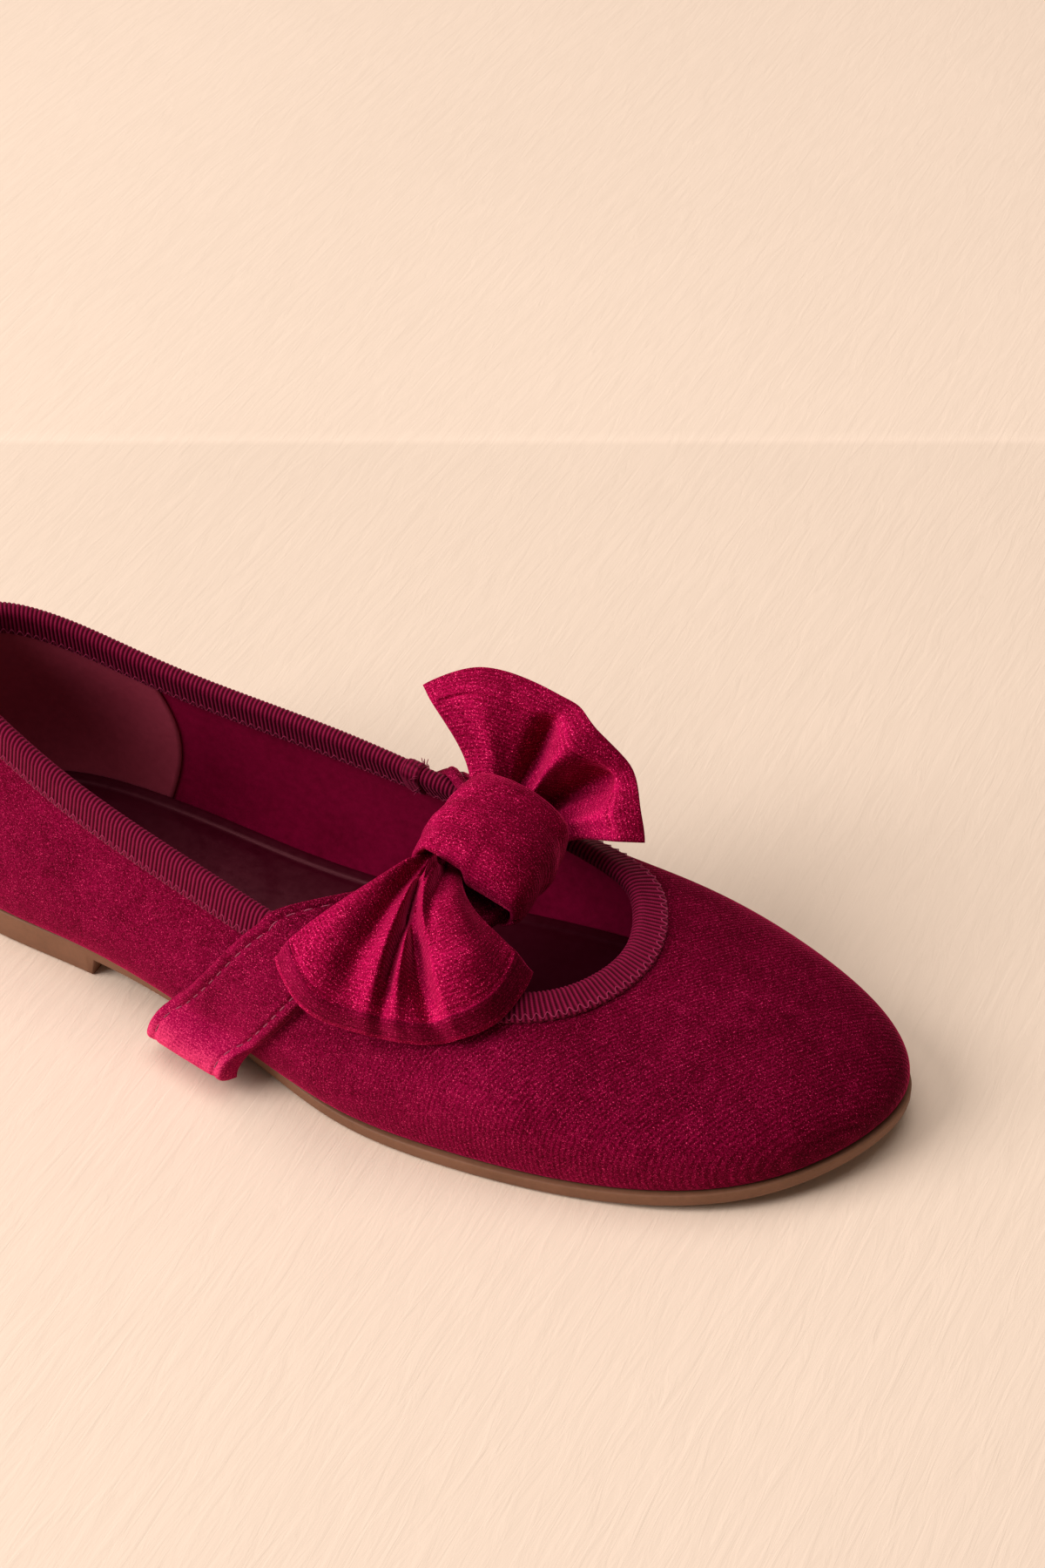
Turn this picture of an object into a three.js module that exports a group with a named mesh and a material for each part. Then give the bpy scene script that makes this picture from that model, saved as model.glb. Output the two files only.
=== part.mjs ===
// Mary jane ballet flat for the right foot, with a wide strap tied in a knot over the instep.
// Millimetres. +X runs from heel to toe, +Y to the inner side of the foot and +Z up.
// The origin is on the ground, under the middle of the heel seat.
import * as THREE from "three";
import { mergeVertices } from "three/addons/utils/BufferGeometryUtils.js";

// Driving sizes of the last and the sole
const LENGTH = 250;
const HEEL_SEAT = 30; // from the back of the heel to the origin
const BALL_WIDTH = 82;
const HEEL_WIDTH = 55;
const BACK_HEIGHT = 68; // topline above the ground at the back of the heel
const THROAT_HEIGHT = 36; // topline above the ground at the front of the opening
const SOLE_THICKNESS = 3.6;
const HEEL_LIFT = 5; // drop from the heel seat to the forefoot
const HEEL_BLOCK_LENGTH = 58;
const TOE_SPRING = 6;
const SOLE_LEDGE = 1; // how far the sole edge stands out from the foot of the upper

// Thicknesses and fits
const GAP = 0.3; // between pieces that touch
const WALL = 2;
const INSOLE_THICKNESS = 2.6;
const INSOLE_DISH = 1.2; // rise of the insole towards its edge
const INSOLE_FIT = 0.5; // from the insole's edge to the inside of the upper
const TAPE_THICKNESS = 0.8;
const TAPE_DEPTH = 5.6; // how far the ribbon binding reaches down each side of the topline

// Strap, knot and bow tails
const STRAP_THICKNESS = 2.4;
const STRAP_END_THICKNESS = 5.6; // where the strap is turned under at the sole
const STRAP_END_HEIGHT = 4.5; // lower end of the strap above the ground
const STRAP_HANG = 0.28; // share of the wall's height where the strap leaves it and hangs free
const STRAP_HANG_END = 0.15; // the same share, for the station where the strap ends
const STRAP_FLARE = 3.5; // how far the strap's end stands out
const STRAP_PINCH = 22; // width of the strap inside the knot
const STRAP_TURN = 5.5; // height over which the strap's rear edge bends in above the topline
const STRAP_TURN_FRONT = 1.5; // the same for its front edge
const KNOT_RISE = 12.5; // middle of the knot above the throat
const KNOT_TILT = 19; // degrees, down towards the toe
const KNOT_HALF_LENGTH = 15.2;
const KNOT_HALF_WIDTH = 15;
const KNOT_TOP = 12; // from the middle of the knot up to its crown
const KNOT_BOTTOM = 8.6;
const KNOT_BORE_TOP = 2.8;
const KNOT_BORE_BOTTOM = 6.2;
const TAIL_THICKNESS = 1.8;
const PLEAT_DEPTH = 0.4; // at the knot
const FOLD_HEIGHT = 5; // of the folds halfway along a tail

// Stations of the tread, as shares of the length from the back of the heel
const FLAT_FROM = 0.56;
const FLAT_TO = 0.72;

// One row for each section round the shoe: heel back, outer side, toe tip, inner side.
// footAt and topAt are shares of LENGTH from the heel back; footOut and topOut are shares of half the
// named width, with the outer side negative; topUp is the topline's height as a share of the way from
// THROAT_HEIGHT to BACK_HEIGHT. The wall is a cubic curve from foot to topline: bulge and shoulder push
// its two handles outwards as shares of BALL_WIDTH, and rise and drop move them up and down as shares of
// the wall's height. ledge is the share of SOLE_LEDGE that the sole shows there.
const SECTION_COLUMNS = [
  "width", "footAt", "footOut", "topAt", "topOut", "topUp", "bulge", "rise", "shoulder", "drop", "ledge",
];
const SECTIONS = [
  ["heel",   0.0,   0.0, 0.022,   0.0,  1.0, 0.045,  0.4, 0.03,  0.3,  0.3],
  ["heel", 0.024, -0.56, 0.045, -0.44, 1.02, 0.045,  0.4, 0.03,  0.3,  0.3],
  ["heel",   0.1, -0.93, 0.115, -0.71, 0.88, 0.045,  0.4, 0.03,  0.3,  0.1],
  ["heel",  0.22, -1.06, 0.225,  -0.9, 0.56,  0.07, 0.28, 0.04,  0.3, -0.6],
  ["heel",  0.38,  -1.3, 0.375,  -1.1, 0.31, 0.105, 0.22, 0.05,  0.3, -1.0],
  ["ball",  0.52, -1.09,   0.5, -0.83, 0.16,  0.07,  0.4, 0.08, 0.25,  0.1],
  ["ball",  0.64, -1.12, 0.605, -0.78, 0.08,  0.05, 0.55, 0.15, 0.22,  1.0],
  ["ball",  0.78,  -1.0,  0.69, -0.58, 0.03,  0.05, 0.55, 0.24,  0.2,  1.0],
  ["ball", 0.925,  -0.6, 0.732, -0.28, 0.01,  0.05,  0.6, 0.36, 0.26,  1.0],
  ["ball",   1.0,  0.18, 0.744,  0.06,  0.0,  0.05,  0.6, 0.42, 0.26,  1.0],
  ["ball", 0.945,  0.67, 0.728,  0.38, 0.01,  0.05,  0.6, 0.36, 0.26,  1.0],
  ["ball", 0.835,  0.84,  0.69,  0.58, 0.04,  0.05, 0.55, 0.22,  0.2,  1.0],
  ["ball",   0.7,  0.87, 0.605,  0.68,  0.1,  0.05, 0.55, 0.12, 0.22,  0.8],
  ["ball",  0.55,  0.76,   0.5,  0.71, 0.18,  0.06,  0.5, 0.07, 0.25, -0.6],
  ["heel",  0.38,  0.92, 0.375,  1.04, 0.32,  0.08, 0.35, 0.03,  0.3, -1.2],
  ["heel",  0.22,  0.96, 0.225,  0.93,  0.5,  0.05,  0.4, 0.03,  0.3, -0.6],
  ["heel",   0.1,  0.92, 0.115,  0.78, 0.76, 0.045,  0.4, 0.03,  0.3,  0.1],
  ["heel", 0.024,  0.56, 0.045,  0.47, 0.96, 0.045,  0.4, 0.03,  0.3,  0.3],
].map((row) => Object.fromEntries(SECTION_COLUMNS.map((name, i) => [name, row[i]])));

// Where the strap's rear and front edges lie, as stations of the ring of sections.
const STRAP = {
  outer: { footRear: 0.203, footFront: 0.237, topRear: 0.2505, topFront: 0.2975 },
  inner: { footRear: 0.789, footFront: 0.754, topRear: 0.725, topFront: 0.675 },
};

// The middle of the knot: at is a share of LENGTH from the heel back and out a share of half BALL_WIDTH.
const KNOT = { at: 0.594, out: 0.125 };

// Ribs of each bow tail, from its rear edge to its front edge. rootForward and mouthForward are shares of
// STRAP_PINCH and mouthReach a share of KNOT_HALF_WIDTH. The shoulder and the tip have at along LENGTH, out
// of half BALL_WIDTH and up of the knot's height above the ground.
const TAIL_COLUMNS = [
  "rootForward", "mouthForward", "mouthReach",
  "shoulderAt", "shoulderOut", "shoulderUp", "tipAt", "tipOut", "tipUp",
];
const TAILS = {
  outer: [
    [-0.44, -0.54, 1.15, 0.508, -0.66, 1.08, 0.474, -1.09, 0.928],
    [-0.38, -0.48, 1.3, 0.544, -0.74, 1.1, 0.522, -1.227, 0.8],
    [-0.32, -0.42, 1.25, 0.574, -0.74, 1.07, 0.578, -1.161, 0.718],
    [-0.25, -0.36, 1.3, 0.596, -0.7, 1.04, 0.634, -1.068, 0.728],
    [-0.18, -0.3, 1.25, 0.61, -0.58, 1.01, 0.678, -0.854, 0.8],
    [-0.11, -0.24, 1.1, 0.612, -0.42, 0.95, 0.691, -0.498, 0.897],
  ],
  inner: [
    [-0.43, -0.48, 1.6, 0.514, 0.54, 1.32, 0.478, 0.654, 1.485],
    [-0.27, -0.3, 1.8, 0.543, 0.66, 1.3, 0.528, 0.83, 1.547],
    [-0.09, -0.1, 1.9, 0.58, 0.7, 1.24, 0.588, 0.854, 1.505],
    [0.09, 0.1, 1.9, 0.615, 0.66, 1.16, 0.644, 0.768, 1.423],
    [0.27, 0.3, 1.8, 0.655, 0.54, 1.07, 0.692, 0.622, 1.258],
    [0.43, 0.48, 1.6, 0.68, 0.4, 1.01, 0.72, 0.43, 1.103],
  ],
};

// Lift of each tail's cloth over its ribs, as shares of FOLD_HEIGHT: rows from the knot to the free edge,
// columns from the rear edge to the front edge.
const FOLDS = {
  outer: [
    [0.0, 0.04, 0.02, -0.04, 0.0, 0.04, 0.0, -0.04, 0.02, 0.04, 0.0],
    [0.0, 0.08, 0.1, 0.06, -0.1, 0.1, -0.12, 0.12, 0.3, 0.2, 0.0],
    [0.0, 0.3, 0.44, 0.3, -0.2, 0.4, -0.4, 0.5, 1.3, 0.95, 0.1],
    [0.0, 0.24, 0.4, 0.4, 0.14, 0.4, -0.2, 0.4, 1.0, 0.75, 0.1],
    [0.0, 0.06, 0.1, 0.1, 0.06, 0.08, 0.0, 0.08, 0.16, 0.12, 0.0],
  ],
  inner: [
    [0.0, 0.04, 0.02, -0.04, 0.02, -0.04, 0.02, 0.04, -0.04, 0.04, 0.0],
    [0.0, 0.04, 0.08, 0.06, 0.02, -0.16, 0.0, 0.08, -0.14, 0.02, 0.0],
    [0.0, 0.44, 0.72, 0.68, 0.32, -0.88, 0.24, 0.72, -0.88, 0.08, 0.0],
    [0.0, 0.44, 0.72, 0.68, 0.4, -0.4, 0.4, 0.56, -0.92, 0.12, 0.0],
    [0.0, 0.16, 0.24, 0.2, 0.12, 0.04, 0.16, 0.16, -0.12, 0.08, 0.0],
  ],
};

// How finely the solids are faceted
const RING_STEPS = 88;
const WALL_STEPS = 8;
const CROSS_STEPS = 6;
const STRAP_STEPS = 8;
const SPAN_STEPS = 8;
const KNOT_STEPS = 32;
const TAIL_ACROSS = 22;
const TAIL_ALONG = 10;

const lengthwise = (share) => share * LENGTH - HEEL_SEAT;
const smooth = (share) => {
  const s = THREE.MathUtils.clamp(share, 0, 1);
  return s * s * (3 - 2 * s);
};

const breastX = HEEL_BLOCK_LENGTH - HEEL_SEAT;

// Height of the sole's underside above the ground at x, without the heel block.
function treadHeight(x) {
  const fall = smooth((lengthwise(FLAT_FROM) - x) / (lengthwise(FLAT_FROM) - breastX));
  const spring = Math.max(0, (x - lengthwise(FLAT_TO)) / (lengthwise(1) - lengthwise(FLAT_TO)));
  return HEEL_LIFT * fall + TOE_SPRING * spring * spring;
}

const seatHeight = (x) => treadHeight(x) + SOLE_THICKNESS;

// Rows of numbers joined by a closed, curvature-continuous cubic spline through every row.
function closedSpline(rows) {
  const count = rows.length;
  let control = rows.map((row) => [...row]);
  for (let pass = 0; pass < 40; pass++) {
    control = rows.map((row, i) => {
      const before = control[(i + count - 1) % count];
      const after = control[(i + 1) % count];
      return row.map((value, k) => (6 * value - before[k] - after[k]) / 4);
    });
  }
  return (t) => {
    const place = (((t % 1) + 1) % 1) * count;
    const i = Math.floor(place);
    const f = place - i;
    const weights = [
      (1 - f) ** 3,
      3 * f ** 3 - 6 * f ** 2 + 4,
      -3 * f ** 3 + 3 * f ** 2 + 3 * f + 1,
      f ** 3,
    ];
    return rows[0].map((_, k) =>
      weights.reduce((sum, w, j) => sum + (w / 6) * control[(i + j + count - 1) % count][k], 0),
    );
  };
}

const halfWidth = { heel: HEEL_WIDTH / 2, ball: BALL_WIDTH / 2 };
const ring = closedSpline(
  SECTIONS.map((row) => [
    lengthwise(row.footAt),
    row.footOut * halfWidth[row.width],
    lengthwise(row.topAt),
    row.topOut * halfWidth[row.width],
    THROAT_HEIGHT + row.topUp * (BACK_HEIGHT - THROAT_HEIGHT),
    row.bulge * BALL_WIDTH,
    row.rise,
    row.shoulder * BALL_WIDTH,
    row.drop,
    row.ledge * SOLE_LEDGE,
  ]),
);

// Outward direction, level with the ground, of one pair of the ring's columns.
function outward(t, column) {
  const step = 1e-4;
  const before = ring(t - step);
  const after = ring(t + step);
  return new THREE.Vector3(
    after[column + 1] - before[column + 1],
    before[column] - after[column],
    0,
  ).normalize();
}

// The four handles of the wall's curve at t, from the sole up to the topline.
function wallCurve(t) {
  const [footX, footY, topX, topY, topZ, bulge, rise, shoulder, drop] = ring(t);
  const foot = new THREE.Vector3(footX, footY, seatHeight(footX) + GAP);
  const top = new THREE.Vector3(topX, topY, topZ);
  const height = top.z - foot.z;
  const low = foot.clone().addScaledVector(outward(t, 0), bulge);
  low.z += rise * height;
  const high = top.clone().addScaledVector(outward(t, 2), shoulder);
  high.z -= drop * height;
  return new THREE.CubicBezierCurve3(foot, low, high, top);
}

// Outside of the upper at t round the shoe and v up the wall, moved out by a distance.
function wallPoint(t, v, out = 0) {
  const step = 1e-3;
  const curve = wallCurve(t);
  const point = curve.getPoint(v);
  const up = curve.getTangent(v);
  const along = wallCurve(t + step).getPoint(v).sub(wallCurve(t - step).getPoint(v));
  const normal = along.cross(up).normalize();
  return point.addScaledVector(normal, out);
}

// Share of the wall's curve at a distance below the topline.
function vBelow(t, distance) {
  const curve = wallCurve(t);
  return curve.getUtoTmapping(1 - distance / curve.getLength());
}

// A closed body from a row of closed outlines with equal numbers of points. The row is joined end to
// start when closed, and otherwise its two ends are filled.
function loft(outlines, closed) {
  const size = outlines[0].length;
  const positions = outlines.flat().flatMap((p) => [p.x, p.y, p.z]);
  const triangles = [];
  const spans = closed ? outlines.length : outlines.length - 1;
  for (let i = 0; i < spans; i++) {
    const next = (i + 1) % outlines.length;
    for (let j = 0; j < size; j++) {
      const k = (j + 1) % size;
      const [a, b, c, d] = [i * size + j, next * size + j, next * size + k, i * size + k];
      triangles.push([a, b, c], [a, c, d]);
    }
  }
  if (!closed) {
    const last = (outlines.length - 1) * size;
    for (let j = 1; j < size / 2; j++) {
      const near = size - j;
      const far = near - 1;
      triangles.push([near, j - 1, j], [near, j, far]);
      triangles.push([last + near, last + j, last + j - 1], [last + near, last + far, last + j]);
    }
  }
  return closedBody(positions, triangles);
}

// Merges shared vertices, drops flat triangles and turns the faces outwards.
function closedBody(positions, triangles) {
  const loose = new THREE.BufferGeometry();
  loose.setAttribute("position", new THREE.Float32BufferAttribute(positions, 3));
  loose.setIndex(triangles.flat());
  const merged = mergeVertices(loose, 1e-3);
  const index = merged.index.array;
  const at = (i) => new THREE.Vector3().fromBufferAttribute(merged.getAttribute("position"), i);
  let volume = 0;
  const kept = [];
  for (let i = 0; i < index.length; i += 3) {
    const [a, b, c] = [index[i], index[i + 1], index[i + 2]];
    if (a === b || b === c || a === c) continue;
    kept.push([a, b, c]);
    volume += at(a).dot(at(b).cross(at(c)));
  }
  merged.setIndex((volume < 0 ? kept.map(([a, b, c]) => [a, c, b]) : kept).flat());
  merged.computeVertexNormals();
  return merged;
}

const steps = (count) => Array.from({ length: count + 1 }, (_, i) => i / count);

function upperGeometry() {
  const outlines = steps(RING_STEPS).slice(0, -1).map((t) => {
    const outside = steps(WALL_STEPS).map((v) => wallPoint(t, v));
    const inside = steps(WALL_STEPS).map((v) => wallPoint(t, v, -WALL)).reverse();
    return [...outside, ...inside];
  });
  return loft(outlines, true);
}

// The ribbon is folded over the topline, so its section is a narrow U round the edge of the wall.
function bindingGeometry() {
  const depths = [TAPE_DEPTH, 0];
  const outlines = steps(RING_STEPS).slice(0, -1).map((t) => {
    const places = depths.map((depth) => vBelow(t, depth));
    const up = wallCurve(t).getTangent(1);
    const face = (out) => places.map((v) => wallPoint(t, v, out));
    const over = (out, rise) => wallPoint(t, 1, out).addScaledVector(up, rise);
    const outer = GAP + TAPE_THICKNESS;
    return [
      ...face(outer),
      over(outer - TAPE_THICKNESS / 2, outer - TAPE_THICKNESS / 2),
      over(-WALL / 2, outer),
      over(-WALL - outer + TAPE_THICKNESS / 2, outer - TAPE_THICKNESS / 2),
      ...face(-WALL - outer).reverse(),
      ...face(-WALL - GAP),
      over(-WALL - GAP, GAP),
      over(GAP, GAP),
      ...face(GAP).reverse(),
    ];
  });
  return loft(outlines, true);
}

// A point on the line across the shoe between both sides of the foot line, pulled in by an inset.
function acrossFoot(t, share, inset) {
  const side = (u) => {
    const [x, y] = ring(u);
    return new THREE.Vector3(x, y, 0).addScaledVector(outward(u, 0), -inset(u));
  };
  return side(t).lerp(side(1 - t), share);
}

// A slab in the shape of the foot line, from its back pole to its toe pole.
function slab(stations, inset, heights) {
  const outlines = stations.map(({ t, part }) => {
    const row = steps(CROSS_STEPS).map((share) => ({ share, point: acrossFoot(t, share, inset) }));
    const lift = (level) => row.map(({ share, point }) =>
      point.clone().setZ(heights[level](point.x, share, part)));
    return [...lift("top"), ...lift("bottom").reverse()];
  });
  return loft(outlines, false);
}

const POLE = 0.004; // share of the ring left out at the heel and toe poles
const BREAST_SLANT = 0.0016; // share of the ring over which the heel's front face leans forward
const poleToPole = (count, from, to) => steps(count).map((s) => from + (to - from) * s);

function outsoleGeometry() {
  let breastT = 0.15;
  for (let pass = 0; pass < 30; pass++) {
    const slope = (ring(breastT + 1e-3)[0] - ring(breastT - 1e-3)[0]) / 2e-3;
    breastT += (breastX - ring(breastT)[0]) / slope;
  }
  const stations = [
    ...poleToPole(12, POLE, breastT).map((t) => ({ t, part: "heel" })),
    ...poleToPole(32, breastT + BREAST_SLANT, 0.5 - POLE).map((t) => ({ t, part: "forepart" })),
  ];
  const edge = (t) => -ring(t)[9];
  return slab(stations, edge, {
    top: (x) => seatHeight(x),
    bottom: (x, share, part) => (part === "heel" ? 0 : treadHeight(x)),
  });
}

function insoleGeometry() {
  const stations = poleToPole(42, POLE, 0.5 - POLE).map((t) => ({ t }));
  return slab(stations, () => WALL + INSOLE_FIT, {
    top: (x, share) => seatHeight(x) + GAP + INSOLE_THICKNESS + INSOLE_DISH * (2 * share - 1) ** 2,
    bottom: (x) => seatHeight(x) + GAP,
  });
}

const knotHeight = THROAT_HEIGHT + KNOT_RISE;
const knotMiddle = new THREE.Vector3(
  lengthwise(KNOT.at),
  (KNOT.out * BALL_WIDTH) / 2,
  knotHeight,
);

// A point given in the knot's own directions: towards the toe, towards the inner side, and up.
function atKnot(forward, inward, up) {
  return new THREE.Vector3(forward, inward, up)
    .applyAxisAngle(new THREE.Vector3(0, 1, 0), THREE.MathUtils.degToRad(KNOT_TILT))
    .add(knotMiddle);
}

const strapFloor = GAP - KNOT_BORE_BOTTOM;

// A sheet with the given inner face. rows holds the face's lines of points across the sheet, and
// thickness is given for each row. The sheet's edges are thinned a little on the outer side.
function sheetOver(rows, thickness) {
  const outlines = rows.map((row, i) => {
    const before = rows[Math.max(0, i - 1)];
    const after = rows[Math.min(rows.length - 1, i + 1)];
    const outer = row.map((point, j) => {
      const across = row[Math.min(row.length - 1, j + 1)].clone().sub(row[Math.max(0, j - 1)]);
      const normal = across.cross(after[j].clone().sub(before[j])).normalize();
      const edge = Math.abs((2 * j) / (row.length - 1) - 1) ** 8;
      return point.clone().addScaledVector(normal, thickness[i] * (1 - 0.4 * edge));
    });
    return [...row, ...outer.reverse()];
  });
  return loft(outlines, false);
}

// Lines across the strap's inner face up one side of the upper, from its free end to the topline.
function strapOnWall(side) {
  const clear = GAP + TAPE_THICKNESS + GAP;
  const station = (u, v) => THREE.MathUtils.lerp(
    THREE.MathUtils.lerp(side.footRear, side.footFront, u),
    THREE.MathUtils.lerp(side.topRear, side.topFront, u),
    v,
  );
  const worn = (u, v) => wallPoint(
    station(u, v), v, THREE.MathUtils.lerp(GAP, clear, smooth((v - 0.4) / 0.35)),
  );
  const hanging = steps(STRAP_STEPS).map((u) => {
    const start = worn(u, STRAP_HANG);
    const end = wallPoint(station(u, STRAP_HANG_END), STRAP_HANG, GAP + STRAP_FLARE);
    end.z = STRAP_END_HEIGHT;
    const drop = start.z - end.z;
    const down = start.clone().sub(worn(u, STRAP_HANG + 0.02)).setLength(0.4 * drop);
    const lead = end.clone();
    lead.z += 0.35 * drop;
    return new THREE.CubicBezierCurve3(start, start.clone().add(down), lead, end);
  });
  return [
    ...[1, 0.93, 0.8, 0.55, 0.27].map((share) => hanging.map((curve) => curve.getPoint(share))),
    ...[STRAP_HANG, 0.4, 0.55, 0.7, 0.85, 1].map((v) => steps(STRAP_STEPS).map((u) => worn(u, v))),
  ];
}

// Lines across the strap's inner face from the topline to the mouth of the knot.
function strapSpan(side, inward) {
  const clear = GAP + TAPE_THICKNESS + GAP;
  const curves = steps(STRAP_STEPS).map((u) => {
    const t = THREE.MathUtils.lerp(side.topRear, side.topFront, u);
    const edge = wallPoint(t, 1, clear);
    const rise = THREE.MathUtils.lerp(STRAP_TURN, STRAP_TURN_FRONT, u);
    const turn = edge.clone().addScaledVector(wallCurve(t).getTangent(1), rise);
    const forward = (u - 0.5) * STRAP_PINCH;
    const mouthOut = KNOT_HALF_WIDTH * 0.6;
    const mouth = atKnot(forward, -inward * mouthOut, strapFloor);
    const leadOut = THREE.MathUtils.lerp(mouthOut, Math.abs(edge.y - knotMiddle.y), 0.4);
    const lead = atKnot(forward, -inward * leadOut, strapFloor);
    return new THREE.CubicBezierCurve3(edge, turn, lead, mouth);
  });
  return steps(SPAN_STEPS).slice(1).map((s) => curves.map((curve) => curve.getPoint(s)));
}

function strapGeometry() {
  const outerWall = strapOnWall(STRAP.outer);
  const innerWall = strapOnWall(STRAP.inner);
  const rows = [
    ...outerWall,
    ...strapSpan(STRAP.outer, 1),
    ...strapSpan(STRAP.inner, -1).reverse(),
    ...innerWall.reverse(),
  ];
  const full = STRAP_THICKNESS;
  const end = [0.55, 0.9, 1, 0.95, 0.75, 0.55].map((share) => share * STRAP_END_THICKNESS);
  const thickness = rows.map((_, i) => {
    const fromEnd = Math.min(i, rows.length - 1 - i);
    return fromEnd < end.length ? Math.max(full, end[fromEnd]) : full;
  });
  return sheetOver(rows, thickness);
}

// The knot is a padded band closed round the strap and the roots of the tails.
function knotGeometry() {
  const middle = (KNOT_BORE_TOP - KNOT_BORE_BOTTOM) / 2;
  const boreHalfHeight = (KNOT_BORE_TOP + KNOT_BORE_BOTTOM) / 2;
  const boreHalfLength = STRAP_PINCH / 2 + 2 * GAP;
  const outlines = steps(KNOT_STEPS).slice(0, -1).map((turn) => {
    const [c, s] = [Math.cos(2 * Math.PI * turn), Math.sin(2 * Math.PI * turn)];
    const square = 1 / Math.max(Math.abs(c), Math.abs(s));
    const round = (Math.abs(c) ** 2.6 + Math.abs(s) ** 2.6) ** (-1 / 2.6);
    const half = KNOT_HALF_WIDTH * (0.78 + 0.22 * Math.max(0, s));
    const point = (share, y) => atKnot(
      c * THREE.MathUtils.lerp(boreHalfLength * square, KNOT_HALF_LENGTH * round, share),
      y * half,
      middle + s * THREE.MathUtils.lerp(
        boreHalfHeight * square, (s > 0 ? KNOT_TOP - middle : KNOT_BOTTOM + middle) * round, share,
      ),
    );
    const profile = [[0, 0.5], [0.25, 0.9], [0.55, 1], [0.86, 0.8], [1, 0.35]];
    return [
      ...profile.map(([share, y]) => point(share, -y)),
      ...profile.map(([share, y]) => point(share, y)).reverse(),
    ];
  });
  return loft(outlines, true);
}

// A smooth curve through rows of numbers that are evenly spaced from 0 to 1.
function through(rows, share) {
  const count = rows.length - 1;
  const place = THREE.MathUtils.clamp(share, 0, 1) * count;
  const i = Math.min(count - 1, Math.floor(place));
  const f = place - i;
  const row = (k) => {
    if (k < 0) return rows[0].map((value, n) => 2 * value - rows[1][n]);
    if (k > count) return rows[count].map((value, n) => 2 * value - rows[count - 1][n]);
    return rows[k];
  };
  const [before, start, end, after] = [row(i - 1), row(i), row(i + 1), row(i + 2)];
  return start.map((value, n) => value + 0.5 * (
    (end[n] - before[n]) * f
    + (2 * before[n] - 5 * value + 4 * end[n] - after[n]) * f ** 2
    + (3 * value - before[n] - 3 * end[n] + after[n]) * f ** 3
  ));
}

// A bow tail is a gathered sheet that fans out from the knot to its free edge.
function tailGeometry(table, folds, inward) {
  const floor = strapFloor + STRAP_THICKNESS + GAP + PLEAT_DEPTH;
  const place = (at, out, up) => new THREE.Vector3(
    lengthwise(at),
    (out * BALL_WIDTH) / 2,
    up * knotHeight,
  );
  const ribs = steps(TAIL_ACROSS).map((w) => {
    const numbers = through(table, w);
    const rib = Object.fromEntries(TAIL_COLUMNS.map((name, i) => [name, numbers[i]]));
    return new THREE.CubicBezierCurve3(
      atKnot(rib.rootForward * STRAP_PINCH, inward * GAP, floor),
      atKnot(rib.mouthForward * STRAP_PINCH, inward * KNOT_HALF_WIDTH * rib.mouthReach, floor),
      place(rib.shoulderAt, rib.shoulderOut, rib.shoulderUp),
      place(rib.tipAt, rib.tipOut, rib.tipUp),
    );
  });
  const flat = steps(TAIL_ALONG).map((s) => ribs.map((rib) => rib.getPoint(s)));
  const outlines = flat.map((row, i) => {
    const before = flat[Math.max(0, i - 1)];
    const after = flat[Math.min(TAIL_ALONG, i + 1)];
    const lift = through(folds, i / TAIL_ALONG).map((share) => [share * FOLD_HEIGHT]);
    const faces = row.map((point, j) => {
      const across = row[Math.min(TAIL_ACROSS, j + 1)].clone().sub(row[Math.max(0, j - 1)]);
      const normal = across.cross(after[j].clone().sub(before[j])).normalize();
      if (normal.z < 0) normal.negate();
      const under = point.clone().addScaledVector(normal, through(lift, j / TAIL_ACROSS)[0]);
      return [under, under.clone().addScaledVector(normal, TAIL_THICKNESS)];
    });
    return [...faces.map((face) => face[0]), ...faces.map((face) => face[1]).reverse()];
  });
  return loft(outlines, false);
}

const VELVET = { color: 0x8f0d3c, roughness: 0.85, metalness: 0 };
const RIBBON = { color: 0x93264f, roughness: 0.7, metalness: 0 };
const LEATHER = { color: 0x4a1024, roughness: 0.35, metalness: 0 };
const RUBBER = { color: 0x8a5f4f, roughness: 0.6, metalness: 0 };

function piece(name, geometry, finish) {
  const mesh = new THREE.Mesh(geometry, new THREE.MeshStandardMaterial(finish));
  mesh.name = name;
  return mesh;
}

const shoe = new THREE.Group();
shoe.add(
  piece("outsole", outsoleGeometry(), RUBBER),
  piece("insole", insoleGeometry(), LEATHER),
  piece("upper", upperGeometry(), VELVET),
  piece("topline_binding", bindingGeometry(), RIBBON),
  piece("strap", strapGeometry(), VELVET),
  piece("knot", knotGeometry(), VELVET),
  piece("outer_bow_tail", tailGeometry(TAILS.outer, FOLDS.outer, -1), VELVET),
  piece("inner_bow_tail", tailGeometry(TAILS.inner, FOLDS.inner, 1), VELVET),
);

export default shoe;
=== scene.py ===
# Looks of the mary jane flat: velvet, ribbon, lining, stitching, sole, light and camera.
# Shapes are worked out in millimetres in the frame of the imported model, from the same sizes and tables,
# and turned into metres when a mesh is made.
import math

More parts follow.
